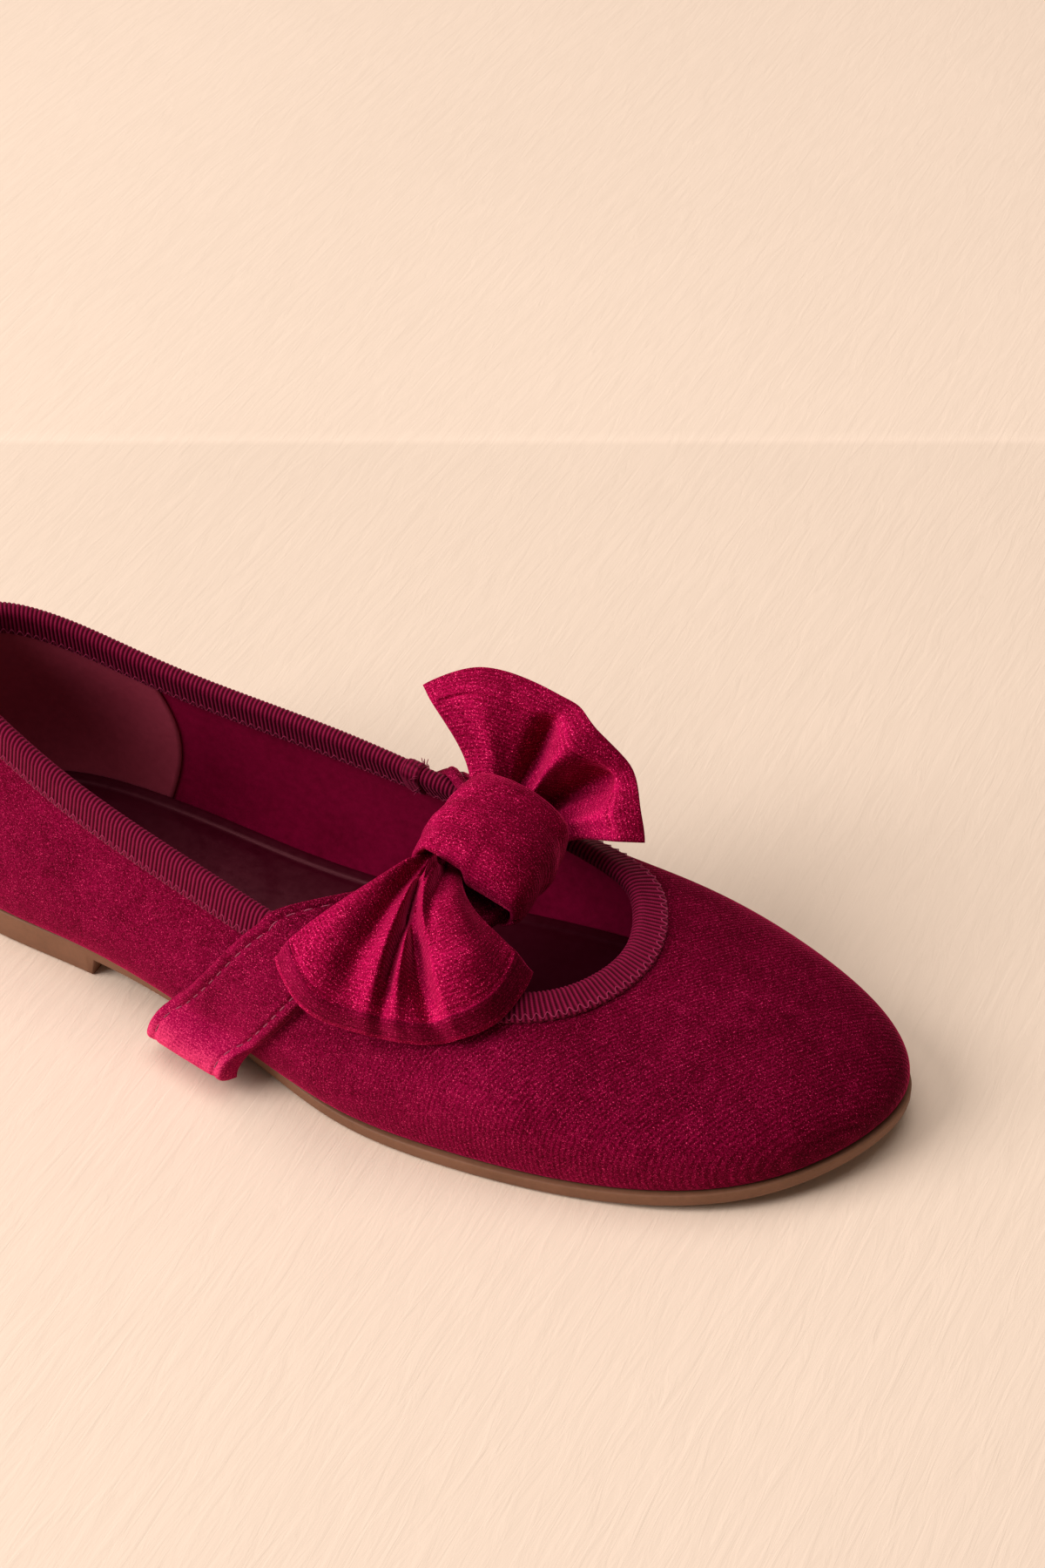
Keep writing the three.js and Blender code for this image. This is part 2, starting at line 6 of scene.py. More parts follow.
import bpy
import numpy as np
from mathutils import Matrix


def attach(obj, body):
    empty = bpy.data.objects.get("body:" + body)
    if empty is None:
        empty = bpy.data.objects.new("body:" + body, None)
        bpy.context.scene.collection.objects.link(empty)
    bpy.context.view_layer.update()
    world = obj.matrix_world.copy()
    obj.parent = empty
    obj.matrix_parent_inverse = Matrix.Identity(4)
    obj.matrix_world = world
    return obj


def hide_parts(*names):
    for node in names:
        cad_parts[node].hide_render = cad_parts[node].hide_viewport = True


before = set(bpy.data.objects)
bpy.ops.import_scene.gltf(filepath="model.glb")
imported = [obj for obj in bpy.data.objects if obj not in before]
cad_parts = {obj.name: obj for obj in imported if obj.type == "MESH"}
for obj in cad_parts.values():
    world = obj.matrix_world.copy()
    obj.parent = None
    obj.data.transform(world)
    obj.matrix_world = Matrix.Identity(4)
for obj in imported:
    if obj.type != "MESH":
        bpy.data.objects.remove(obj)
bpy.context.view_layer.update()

MM = 0.001

# Driving sizes of the last and the sole
LENGTH = 250
HEEL_SEAT = 30
BALL_WIDTH = 82
HEEL_WIDTH = 55
BACK_HEIGHT = 68
THROAT_HEIGHT = 36
SOLE_THICKNESS = 3.6
HEEL_LIFT = 5
HEEL_BLOCK_LENGTH = 58
TOE_SPRING = 6
SOLE_LEDGE = 1

# Thicknesses and fits
GAP = 0.3
WALL = 2
INSOLE_THICKNESS = 2.6
INSOLE_DISH = 1.2
INSOLE_FIT = 0.5
TAPE_THICKNESS = 0.8
TAPE_DEPTH = 5.6
FLAT_FROM = 0.56
FLAT_TO = 0.72

# Strap, knot and bow tails
STRAP_THICKNESS = 2.4
STRAP_END_THICKNESS = 5.6
STRAP_END_HEIGHT = 4.5
STRAP_HANG = 0.28
STRAP_HANG_END = 0.15
STRAP_FLARE = 3.5
STRAP_PINCH = 22
STRAP_TURN = 5.5
STRAP_TURN_FRONT = 1.5
KNOT_RISE = 12.5
KNOT_TILT = 19
KNOT_HALF_LENGTH = 15.2
KNOT_HALF_WIDTH = 15
KNOT_TOP = 12
KNOT_BOTTOM = 8.6
KNOT_BORE_TOP = 2.8
KNOT_BORE_BOTTOM = 6.2
TAIL_THICKNESS = 1.8
PLEAT_DEPTH = 0.4
FOLD_HEIGHT = 5

# Sections round the shoe: heel back, outer side, toe tip, inner side.
# footAt and topAt are shares of LENGTH; footOut and topOut are shares of half the named width; topUp is a
# share of the way from THROAT_HEIGHT to BACK_HEIGHT; bulge and shoulder are shares of BALL_WIDTH; rise and
# drop are shares of the wall's height; ledge is a share of SOLE_LEDGE.
SECTIONS = [
    # width, footAt, footOut, topAt, topOut, topUp, bulge, rise, shoulder, drop, ledge
    ("heel", 0.0, 0.0, 0.022, 0.0, 1.0, 0.045, 0.4, 0.03, 0.3, 0.3),
    ("heel", 0.024, -0.56, 0.045, -0.44, 1.02, 0.045, 0.4, 0.03, 0.3, 0.3),
    ("heel", 0.1, -0.93, 0.115, -0.71, 0.88, 0.045, 0.4, 0.03, 0.3, 0.1),
    ("heel", 0.22, -1.06, 0.225, -0.9, 0.56, 0.07, 0.28, 0.04, 0.3, -0.6),
    ("heel", 0.38, -1.3, 0.375, -1.1, 0.31, 0.105, 0.22, 0.05, 0.3, -1.0),
    ("ball", 0.52, -1.09, 0.5, -0.83, 0.16, 0.07, 0.4, 0.08, 0.25, 0.1),
    ("ball", 0.64, -1.12, 0.605, -0.78, 0.08, 0.05, 0.55, 0.15, 0.22, 1.0),
    ("ball", 0.78, -1.0, 0.69, -0.58, 0.03, 0.05, 0.55, 0.24, 0.2, 1.0),
    ("ball", 0.925, -0.6, 0.732, -0.28, 0.01, 0.05, 0.6, 0.36, 0.26, 1.0),
    ("ball", 1.0, 0.18, 0.744, 0.06, 0.0, 0.05, 0.6, 0.42, 0.26, 1.0),
    ("ball", 0.945, 0.67, 0.728, 0.38, 0.01, 0.05, 0.6, 0.36, 0.26, 1.0),
    ("ball", 0.835, 0.84, 0.69, 0.58, 0.04, 0.05, 0.55, 0.22, 0.2, 1.0),
    ("ball", 0.7, 0.87, 0.605, 0.68, 0.1, 0.05, 0.55, 0.12, 0.22, 0.8),
    ("ball", 0.55, 0.76, 0.5, 0.71, 0.18, 0.06, 0.5, 0.07, 0.25, -0.6),
    ("heel", 0.38, 0.92, 0.375, 1.04, 0.32, 0.08, 0.35, 0.03, 0.3, -1.2),
    ("heel", 0.22, 0.96, 0.225, 0.93, 0.5, 0.05, 0.4, 0.03, 0.3, -0.6),
    ("heel", 0.1, 0.92, 0.115, 0.78, 0.76, 0.045, 0.4, 0.03, 0.3, 0.1),
    ("heel", 0.024, 0.56, 0.045, 0.47, 0.96, 0.045, 0.4, 0.03, 0.3, 0.3),
]

# Stations of the ring where the strap's rear and front edges lie.
STRAP = {
    "outer": {"foot": (0.203, 0.237), "top": (0.2505, 0.2975)},
    "inner": {"foot": (0.789, 0.754), "top": (0.725, 0.675)},
}

# The knot's middle, as shares of LENGTH and of half BALL_WIDTH.
KNOT_AT, KNOT_OUT = 0.594, 0.125

# Ribs of each tail, from its rear edge to its front edge: root and mouth along the strap's pinched width,
# reach of KNOT_HALF_WIDTH, then shoulder and tip, each at along LENGTH, out of half BALL_WIDTH and up of the
# knot's height.
TAILS = {
    "outer": [
        (-0.44, -0.54, 1.15, 0.508, -0.66, 1.08, 0.474, -1.09, 0.928),
        (-0.38, -0.48, 1.3, 0.544, -0.74, 1.1, 0.522, -1.227, 0.8),
        (-0.32, -0.42, 1.25, 0.574, -0.74, 1.07, 0.578, -1.161, 0.718),
        (-0.25, -0.36, 1.3, 0.596, -0.7, 1.04, 0.634, -1.068, 0.728),
        (-0.18, -0.3, 1.25, 0.61, -0.58, 1.01, 0.678, -0.854, 0.8),
        (-0.11, -0.24, 1.1, 0.612, -0.42, 0.95, 0.691, -0.498, 0.897),
    ],
    "inner": [
        (-0.43, -0.48, 1.6, 0.514, 0.54, 1.32, 0.478, 0.654, 1.485),
        (-0.27, -0.3, 1.8, 0.543, 0.66, 1.3, 0.528, 0.83, 1.547),
        (-0.09, -0.1, 1.9, 0.58, 0.7, 1.24, 0.588, 0.854, 1.505),
        (0.09, 0.1, 1.9, 0.615, 0.66, 1.16, 0.644, 0.768, 1.423),
        (0.27, 0.3, 1.8, 0.655, 0.54, 1.07, 0.692, 0.622, 1.258),
        (0.43, 0.48, 1.6, 0.68, 0.4, 1.01, 0.72, 0.43, 1.103),
    ],
}

# Lift of each tail's cloth over its ribs, as shares of FOLD_HEIGHT: rows from the knot to the free edge,
# columns from the rear edge to the front edge.
FOLDS = {
    "outer": [
        [0.0, 0.04, 0.02, -0.04, 0.0, 0.04, 0.0, -0.04, 0.02, 0.04, 0.0],
        [0.0, 0.08, 0.1, 0.06, -0.1, 0.1, -0.12, 0.12, 0.3, 0.2, 0.0],
        [0.0, 0.3, 0.44, 0.3, -0.2, 0.4, -0.4, 0.5, 1.3, 0.95, 0.1],
        [0.0, 0.24, 0.4, 0.4, 0.14, 0.4, -0.2, 0.4, 1.0, 0.75, 0.1],
        [0.0, 0.06, 0.1, 0.1, 0.06, 0.08, 0.0, 0.08, 0.16, 0.12, 0.0],
    ],
    "inner": [
        [0.0, 0.04, 0.02, -0.04, 0.02, -0.04, 0.02, 0.04, -0.04, 0.04, 0.0],
        [0.0, 0.04, 0.08, 0.06, 0.02, -0.16, 0.0, 0.08, -0.14, 0.02, 0.0],
        [0.0, 0.44, 0.72, 0.68, 0.32, -0.88, 0.24, 0.72, -0.88, 0.08, 0.0],
        [0.0, 0.44, 0.72, 0.68, 0.4, -0.4, 0.4, 0.56, -0.92, 0.12, 0.0],
        [0.0, 0.16, 0.24, 0.2, 0.12, 0.04, 0.16, 0.16, -0.12, 0.08, 0.0],
    ],
}

# Creases and ridges pressed into the tails. Each has a kind, a height in mm, a spread as a share of the
# width, and its course as pairs of share along and share across. A lobe is steep on its rear side and falls
# slowly to the front.
CREASES = {
    "outer": [
        ("lobe", 7.0, 0.026,
         [(0.15, 0.26), (0.34, 0.33), (0.5, 0.49), (0.66, 0.58), (0.86, 0.635), (1, 0.66)]),
        ("line", -3.4, 0.035,
         [(0.2, 0.23), (0.4, 0.34), (0.64, 0.51), (0.76, 0.55), (0.86, 0.58), (1, 0.62)]),
        ("line", 3.2, 0.04, [(0.4, 0.3), (0.64, 0.34), (0.79, 0.36), (1, 0.39)]),
        ("line", -2.6, 0.024, [(0.3, 0.34), (0.56, 0.41), (0.71, 0.415), (1, 0.43)]),
        ("line", 2.6, 0.028, [(0.3, 0.38), (0.6, 0.46), (0.76, 0.47), (1, 0.49)]),
        ("line", -2.6, 0.06, [(0.3, 0.16), (0.53, 0.23), (0.8, 0.26), (1, 0.28)]),
        ("line", 2.2, 0.1, [(0.2, 0.02), (0.5, 0.08), (1, 0.12)]),
    ],
    "inner": [
        ("line", 2.2, 0.12, [(0.3, 0.16), (0.6, 0.2), (1, 0.22)]),
        ("line", -4.4, 0.042, [(0.2, 0.4), (0.39, 0.41), (0.62, 0.44), (0.85, 0.46), (1, 0.5)]),
        ("line", 3.4, 0.05, [(0.2, 0.52), (0.5, 0.56), (0.8, 0.6), (1, 0.6)]),
        ("line", -9.5, 0.065, [(0.2, 0.64), (0.4, 0.67), (0.6, 0.7), (0.88, 0.72), (1, 0.74)]),
        ("line", 2.0, 0.07, [(0.2, 0.8), (0.5, 0.84), (1, 0.87)]),
    ],
}

BREAST_X = HEEL_BLOCK_LENGTH - HEEL_SEAT
HALF_WIDTH = {"heel": HEEL_WIDTH / 2, "ball": BALL_WIDTH / 2}


# Shape functions

def lengthwise(share):
    return share * LENGTH - HEEL_SEAT


def smooth(share):
    s = np.clip(share, 0, 1)
    return s * s * (3 - 2 * s)


def lerp(a, b, share):
    return a + (b - a) * share


def unit(vectors):
    return vectors / np.maximum(np.linalg.norm(vectors, axis=-1, keepdims=True), 1e-12)


def tread_height(x):
    """Height of the sole's underside above the ground, without the heel block."""
    fall = smooth((lengthwise(FLAT_FROM) - x) / (lengthwise(FLAT_FROM) - BREAST_X))
    spring = np.maximum(0, (x - lengthwise(FLAT_TO)) / (lengthwise(1) - lengthwise(FLAT_TO)))
    return HEEL_LIFT * fall + TOE_SPRING * spring * spring


def seat_height(x):
    return tread_height(x) + SOLE_THICKNESS


def closed_spline(rows):
    """A closed cubic spline through every row of numbers."""
    rows = np.array(rows, float)
    control = rows.copy()
    for _ in range(40):
        control = (6 * rows - np.roll(control, 1, 0) - np.roll(control, -1, 0)) / 4

    def at(t):
        place = np.mod(np.asarray(t, float), 1) * len(rows)
        i = np.floor(place).astype(int)
        f = (place - i)[..., None]
        weights = ((1 - f) ** 3, 3 * f**3 - 6 * f**2 + 4, -3 * f**3 + 3 * f**2 + 3 * f + 1, f**3)
        return sum(w / 6 * control[(i + k - 1) % len(rows)] for k, w in enumerate(weights))

    return at


ring = closed_spline([
    [
        lengthwise(foot_at), foot_out * HALF_WIDTH[width],
        lengthwise(top_at), top_out * HALF_WIDTH[width],
        THROAT_HEIGHT + top_up * (BACK_HEIGHT - THROAT_HEIGHT),
        bulge * BALL_WIDTH, rise, shoulder * BALL_WIDTH, drop, ledge * SOLE_LEDGE,
    ]
    for width, foot_at, foot_out, top_at, top_out, top_up, bulge, rise, shoulder, drop, ledge in SECTIONS
])


def outward(t, column):
    """Level direction out of the shoe from one pair of the ring's columns."""
    step = 1e-4
    turn = ring(t + step) - ring(t - step)
    flat = np.stack([turn[..., column + 1], -turn[..., column], np.zeros_like(turn[..., 0])], -1)
    return unit(flat)


def wall_handles(t):
    """The four handles of the wall's curve at t, from the sole up to the topline."""
    row = ring(t)
    foot = np.stack([row[..., 0], row[..., 1], seat_height(row[..., 0]) + GAP], -1)
    top = row[..., 2:5]
    height = (top[..., 2] - foot[..., 2])[..., None]
    up = np.array([0, 0, 1.0])
    low = foot + outward(t, 0) * row[..., 5:6] + up * row[..., 6:7] * height
    high = top + outward(t, 2) * row[..., 7:8] - up * row[..., 8:9] * height
    return foot, low, high, top


def bezier(handles, v):
    a, b, c, d = handles
    v = np.asarray(v)[..., None]
    return a * (1 - v) ** 3 + 3 * b * v * (1 - v) ** 2 + 3 * c * v**2 * (1 - v) + d * v**3


def bezier_slope(handles, v):
    a, b, c, d = handles
    v = np.asarray(v)[..., None]
    return 3 * ((b - a) * (1 - v) ** 2 + 2 * (c - b) * v * (1 - v) + (d - c) * v**2)


def wall_frame(t, v):
    """Point, outward normal and upward tangent of the upper's outside."""
    t, v = np.broadcast_arrays(np.asarray(t, float), np.asarray(v, float))
    step = 1e-3
    handles = wall_handles(t)
    up = unit(bezier_slope(handles, v))
    along = bezier(wall_handles(t + step), v) - bezier(wall_handles(t - step), v)
    return bezier(handles, v), unit(np.cross(along, up)), up


def wall(t, v, out=0):
    point, normal, _ = wall_frame(t, v)
    return point + normal * np.asarray(out, float)[..., None]


def v_below(t, distance):
    """Place on the wall's curve at a distance below the topline."""
    t = np.atleast_1d(t)
    v = np.linspace(0, 1, 65)
    points = bezier([h[:, None, :] for h in wall_handles(t)], v[None, :])
    steps = np.linalg.norm(np.diff(points, axis=1), axis=-1)
    below = np.concatenate([np.cumsum(steps[:, ::-1], 1)[:, ::-1], np.zeros((len(t), 1))], 1)
    distance = np.broadcast_to(distance, t.shape)
    return np.array([np.interp(-d, -row, v) for d, row in zip(distance, below)])


KNOT_HEIGHT = THROAT_HEIGHT + KNOT_RISE
KNOT_MIDDLE = np.array([lengthwise(KNOT_AT), KNOT_OUT * BALL_WIDTH / 2, KNOT_HEIGHT])
STRAP_FLOOR = GAP - KNOT_BORE_BOTTOM


def at_knot(forward, inward, up):
    """A point given in the knot's own directions: to the toe, to the inner side, and up."""
    forward, inward, up = np.broadcast_arrays(*(np.asarray(a, float) for a in (forward, inward, up)))
    c, s = math.cos(math.radians(KNOT_TILT)), math.sin(math.radians(KNOT_TILT))
    return np.stack([forward * c + up * s, inward, up * c - forward * s], -1) + KNOT_MIDDLE


# Meshes

def new_object(name, data):
    obj = bpy.data.objects.new(name, data)
    bpy.context.scene.collection.objects.link(obj)
    return obj


def mesh_object(name, points, faces, uv=None):
    """A smooth mesh from points in mm and lists of corners. uv holds a pair for each corner of each face."""
    mesh = bpy.data.meshes.new(name)
    mesh.from_pydata((np.asarray(points) * MM).tolist(), [], faces)
    if uv is not None:
        layer = mesh.uv_layers.new(name="UVMap")
        layer.data.foreach_set("uv", np.asarray(uv, np.float32).ravel())
    mesh.polygons.foreach_set("use_smooth", np.ones(len(mesh.polygons), bool))
    mesh.update()
    return new_object(name, mesh)


def grid_faces(nu, nv, closed=False):
    """Quads of a grid of points that runs round across, and along too when closed, and the same quads on a
    grid that has its seams doubled."""
    along = np.arange(nu if closed else nu - 1)
    i, j = (a.ravel() for a in np.meshgrid(along, np.arange(nv), indexing="ij"))
    corners = [(i, j), (i + 1, j), (i + 1, j + 1), (i, j + 1)]
    quads = np.stack([(a % nu) * nv + b % nv for a, b in corners], -1)
    seamed = np.stack([a * (nv + 1) + b for a, b in corners], -1)
    return quads, seamed


def uv_grid(first, second):
    """Pairs in metres from two measures in mm, one of them along a grid and one across."""
    return np.stack(np.broadcast_arrays(first, second), -1) * MM


def grid_object(name, points, uv):
    """A closed mesh from a grid of points that runs round in both directions."""
    quads, seamed = grid_faces(*points.shape[:2], True)
    return mesh_object(name, points.reshape(-1, 3), quads.tolist(), uv.reshape(-1, 2)[seamed])


def outward_faces(obj):
    """Turns the faces of a closed mesh outwards."""
    mesh = obj.data
    count = len(mesh.vertices)
    points = np.empty(count * 3)
    mesh.vertices.foreach_get("co", points)
    points = points.reshape(-1, 3)
    mesh.calc_loop_triangles()
    corners = np.empty(len(mesh.loop_triangles) * 3, int)
    mesh.loop_triangles.foreach_get("vertices", corners)
    a, b, c = points[corners.reshape(-1, 3)].transpose(1, 0, 2)
    if np.einsum("ij,ij->i", a, np.cross(b, c)).sum() < 0:
        mesh.flip_normals()
    return obj


def running_length(points, closed=False):
    """Distance along the first axis of a row of points."""
    steps = np.linalg.norm(np.diff(points, axis=0), axis=-1)
    if closed:
        steps = np.append(steps, np.linalg.norm(points[0] - points[-1]))
    return np.concatenate([[0], np.cumsum(steps)])


def points_at(spots, along, points):
    """Points at some distances along a row of points."""
    return np.stack([np.interp(spots, along, column) for column in points.T], -1)


def sheet_object(name, inner, outer):
    """A closed sheet between two grids of points, along by across."""
    nu, nv, _ = inner.shape
    points = np.concatenate([inner, outer[:, ::-1]], 1)
    along = running_length(points.mean(1))
    width = np.linalg.norm(inner[nu // 2, -1] - inner[nu // 2, 0])
    across = np.concatenate([np.linspace(0, 1, nv), np.linspace(1, 0, nv), [0]]) * width
    uv = uv_grid(along[:, None], across[None, :])
    quads, seamed = grid_faces(nu, 2 * nv)
    faces = quads.tolist()
    uvs = uv.reshape(-1, 2)[seamed].tolist()
    for end in (0, nu - 1):
        for j in range(nv - 1):
            corners = [j, j + 1, 2 * nv - 2 - j, 2 * nv - 1 - j]
            if end:
                corners.reverse()
            faces.append([end * 2 * nv + k for k in corners])
            uvs.append([uv[end, k] for k in corners])
    flat = [pair for face in uvs for pair in face]
    return outward_faces(mesh_object(name, points.reshape(-1, 3), faces, flat))


def tube_mesh(paths, radius, sides=6):
    """Points and faces of round threads along paths; each path is its points."""
    points, faces, start = [], [], 0
    angles = np.linspace(0, 2 * np.pi, sides, endpoint=False)
    for path in paths:
        path = np.asarray(path, float)
        tangent = unit(np.gradient(path, axis=0))
        helper = np.where(np.abs(tangent[:, 2:3]) < 0.9, [[0, 0, 1.0]], [[1.0, 0, 0]])
        side = unit(np.cross(tangent, helper))
        up = np.cross(side, tangent)
        taper = np.ones(len(path))
        taper[[0, -1]] = 0.35
        loops = path[:, None] + radius * taper[:, None, None] * (
            np.cos(angles)[None, :, None] * side[:, None] + np.sin(angles)[None, :, None] * up[:, None]
        )
        points.append(loops.reshape(-1, 3))
        quads, _ = grid_faces(len(path), sides)
        faces += (quads[:, ::-1] + start).tolist()
        faces.append([start + k for k in range(sides)])
        faces.append([start + (len(path) - 1) * sides + k for k in reversed(range(sides))])
        start += len(path) * sides
    return np.concatenate(points), faces


def thread_object(name, paths, radius, sides=6):
    return mesh_object(name, *tube_mesh(paths, radius, sides))


def dress(obj, material, slot, *nodes):
    """Gives a piece its material, attaches it to the root and hides the nodes that it stands for; slot is
    not used.
    """
    if material is not None:
        obj.data.materials.append(material)
    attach(obj, "root")
    if nodes:
        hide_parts(*nodes)
    return obj


# Materials

def new_material(name):
    material = bpy.data.materials.new(name)
    material.use_nodes = True
    tree = material.node_tree
    shader = tree.nodes["Principled BSDF"]
    return material, tree, shader


def set_inputs(node, values):
    for key, value in values.items():
        node.inputs[key].default_value = value


def add(tree, kind, values=None, **settings):
    node = tree.nodes.new(kind)
    for key, value in settings.items():
        setattr(node, key, value)
    set_inputs(node, values or {})
    return node


def wired(tree, kind, links, output, values=None, **settings):
    """One output of a new node that is fed by links."""
    node = add(tree, kind, values, **settings)
    for key, source in links.items():
        tree.links.new(source, node.inputs[key])
    return node.outputs[output]


def place_node(tree, source="Object"):
    return wired(tree, "ShaderNodeTexCoord", {}, source)


def noise(tree, vector, scale, detail=4.0, roughness=0.55, distortion=0.0):
    return wired(tree, "ShaderNodeTexNoise", {"Vector": vector}, "Fac", {
        "Scale": scale, "Detail": detail, "Roughness": roughness, "Distortion": distortion,
    })


def stretch(tree, value, low, high, out_low=0.0, out_high=1.0):
    return wired(tree, "ShaderNodeMapRange", {"Value": value}, "Result", {
        "From Min": low, "From Max": high, "To Min": out_low, "To Max": out_high,
    })


def math_node(tree, operation, a, b):
    node = add(tree, "ShaderNodeMath", operation=operation)
    for value, socket in ((a, node.inputs[0]), (b, node.inputs[1])):
        if isinstance(value, (int, float)):
            socket.default_value = value
        else:
            tree.links.new(value, socket)
    return node.outputs["Value"]


def weighted(tree, *pairs):
    """The sum of some values, each times its weight."""
    total = math_node(tree, "MULTIPLY", *pairs[0])
    for value, weight in pairs[1:]:
        total = math_node(tree, "ADD", total, math_node(tree, "MULTIPLY", value, weight))
    return total


def ramp(tree, value, stops):
    node = add(tree, "ShaderNodeValToRGB")
    elements = node.color_ramp.elements
    while len(elements) < len(stops):
        elements.new(0.5)
    for element, (place, colour) in zip(elements, stops):
        element.position = place
        element.color = (*colour, 1)
    tree.links.new(value, node.inputs["Fac"])
    return node.outputs["Color"]


def waves(tree, vector, scale, axis, distortion=0.0):
    return wired(tree, "ShaderNodeTexWave", {"Vector": vector}, "Fac", {
        "Scale": scale, "Distortion": distortion, "Detail": 1.0, "Detail Scale": 2.0,
    }, wave_type="BANDS", bands_direction=axis, wave_profile="SIN")


def mapped(tree, vector, degrees, scale=(1, 1, 1)):
    turn = [math.radians(angle) for angle in degrees]
    return wired(tree, "ShaderNodeMapping", {"Vector": vector}, "Vector", {"Rotation": turn, "Scale": scale})


def bump(tree, height, distance, strength=1.0, under=None):
    links = {"Height": height} if under is None else {"Height": height, "Normal": under}
    return wired(tree, "ShaderNodeBump", links, "Normal", {"Distance": distance, "Strength": strength})


def dot(tree, vector, direction):
    """How far a vector points along a direction."""
    return wired(tree, "ShaderNodeVectorMath", {0: vector}, "Value", {1: direction}, operation="DOT_PRODUCT")


# Tones of the velvet by its random pile, ribs and speckle, with painted light and shade added, up to
# NAP_TOP.
NAP_TOP = 1.35
VELVET_TONES = [
    (0.08, (0.028, 0.0003, 0.003)),
    (0.42, (0.085, 0.0006, 0.0105)),
    (0.9, (0.3, 0.003, 0.057)),
    (NAP_TOP, (0.75, 0.06, 0.18)),
]
PAINTED_LIGHT_TOWARDS = (-0.76, -0.62, 0.12)  # the way that faces turn to be painted lighter, on the key light's side: painted light and shade
PAINTED_LIGHT_SWING = 0.26  # how far the painted light or shade of a face rises or falls with the way that it looks
RIBS_FADE, RIBS_FULL = 0.08, 0.14  # x in metres between which the ribs of the upper come up
RIB_SCALE = 360
TUFT_SCALE, SPARKLE_SCALE = 2300, 4000


def velvet_material(name, rib_angles=None, ribs=0.1, grain=0.4, speckle=0.8, shade=1.0, painted_sheen_below=0.0):
    """Short pile, softly brushed: bright where it is grazed, with painted light on faces turned towards the
    key light's side and painted shade on those turned away. Its fine ribs lie turned by rib_angles and fade
    towards the heel, or else run along the piece. shade brightens all of it, and below a given height the
    colour is lighter, a painted sheen highlight."""
    material, tree, shader = new_material(name)
    place = place_node(tree)
    patches = noise(tree, place, 48, 3, 0.6, 0.4)
    brushed = noise(tree, place, 210, 4, 0.65, 0.3)
    tufts = noise(tree, place, TUFT_SCALE, 2, 0.7)
    sparkle = noise(tree, place, SPARKLE_SCALE, 1, 0.5)
    spot = add(tree, "ShaderNodeSeparateXYZ")
    tree.links.new(place, spot.inputs["Vector"])
    if rib_angles:
        rows = waves(tree, mapped(tree, place, rib_angles), RIB_SCALE, "X", 0.7)
        rows = math_node(tree, "MULTIPLY", rows, stretch(tree, spot.outputs["X"], RIBS_FADE, RIBS_FULL))
    else:
        rows = waves(tree, place_node(tree, "UV"), RIB_SCALE, "X", 0.7)
    # Painted light and shade: faces turned towards the key light's side are painted lighter, those turned
    # away darker.
    lit_facing = dot(tree, place_node(tree, "Normal"), PAINTED_LIGHT_TOWARDS)
    pile_and_painted_light = math_node(
        tree, "ADD", stretch(tree, lit_facing, -0.9, 0.9, -PAINTED_LIGHT_SWING, PAINTED_LIGHT_SWING),
        weighted(
            tree,
            (stretch(tree, patches, 0.3, 0.7), 0.14),
            (stretch(tree, brushed, 0.3, 0.7), 0.12),
            (stretch(tree, tufts, 0.3, 0.7), grain),
            (rows, ribs),
            (stretch(tree, sparkle, 0.6, 0.74), speckle),
        ),
    )
    # Painted sheen highlight: the colour is lighter below a given height.
    if painted_sheen_below:
        painted_sheen = stretch(tree, spot.outputs["Z"], 0.35 * painted_sheen_below, painted_sheen_below, 0.65, 0)
        pile_and_painted_light = math_node(tree, "ADD", pile_and_painted_light, painted_sheen)
    colour = ramp(tree, math_node(tree, "MULTIPLY", pile_and_painted_light, 1 / NAP_TOP), [
        (raised / NAP_TOP, tuple(shade * part for part in tone)) for raised, tone in VELVET_TONES
    ])
    tree.links.new(colour, shader.inputs["Base Color"])
    set_inputs(shader, {
        "Roughness": 0.75, "Specular IOR Level": 0.02,
        "Sheen Weight": 1.0, "Sheen Roughness": 0.26, "Sheen Tint": (1.0, 0.04, 0.19, 1),
    })
    soft = bump(tree, patches, 0.0009, 0.5)
    soft = bump(tree, brushed, 0.0003, 0.5, soft)
    soft = bump(tree, rows, 0.00014, 0.5, soft)
    soft = bump(tree, tufts, 0.0002, 0.8, soft)
    tree.links.new(soft, shader.inputs["Normal"])
    return material


def ribbon_material(pitch):
    """Ribbed ribbon, with painted shade in the hollows between its ribs, which lie pitch apart."""
    material, tree, shader = new_material("ribbon")
    place = place_node(tree)
    uv = place_node(tree, "UV")
    threads = waves(tree, uv, 900, "Y", 0.6)
    mottle = noise(tree, place, 600, 3)
    # Painted shade: the colour darkens in the hollows between the ribs.
    groove_shade = waves(tree, uv, 2 * math.pi / (20 * pitch * MM), "X")
    mix = weighted(tree, (threads, 0.15), (mottle, 0.25), (math_node(tree, "SUBTRACT", 1.0, groove_shade), 0.6))
    tree.links.new(ramp(tree, mix, [
        (0.15, (0.028, 0.0004, 0.004)), (0.5, (0.13, 0.0025, 0.022)), (0.9, (0.3, 0.013, 0.07)),
    ]), shader.inputs["Base Color"])
    set_inputs(shader, {
        "Roughness": 0.55, "Specular IOR Level": 0.2, "Specular Tint": (1.0, 0.2, 0.35, 1),
        "Sheen Weight": 0.4, "Sheen Roughness": 0.4, "Sheen Tint": (1.0, 0.12, 0.3, 1),
    })
    fibres = bump(tree, mottle, 0.0001, 0.4)
    tree.links.new(bump(tree, threads, 0.00006, 0.6, fibres), shader.inputs["Normal"])
    return material


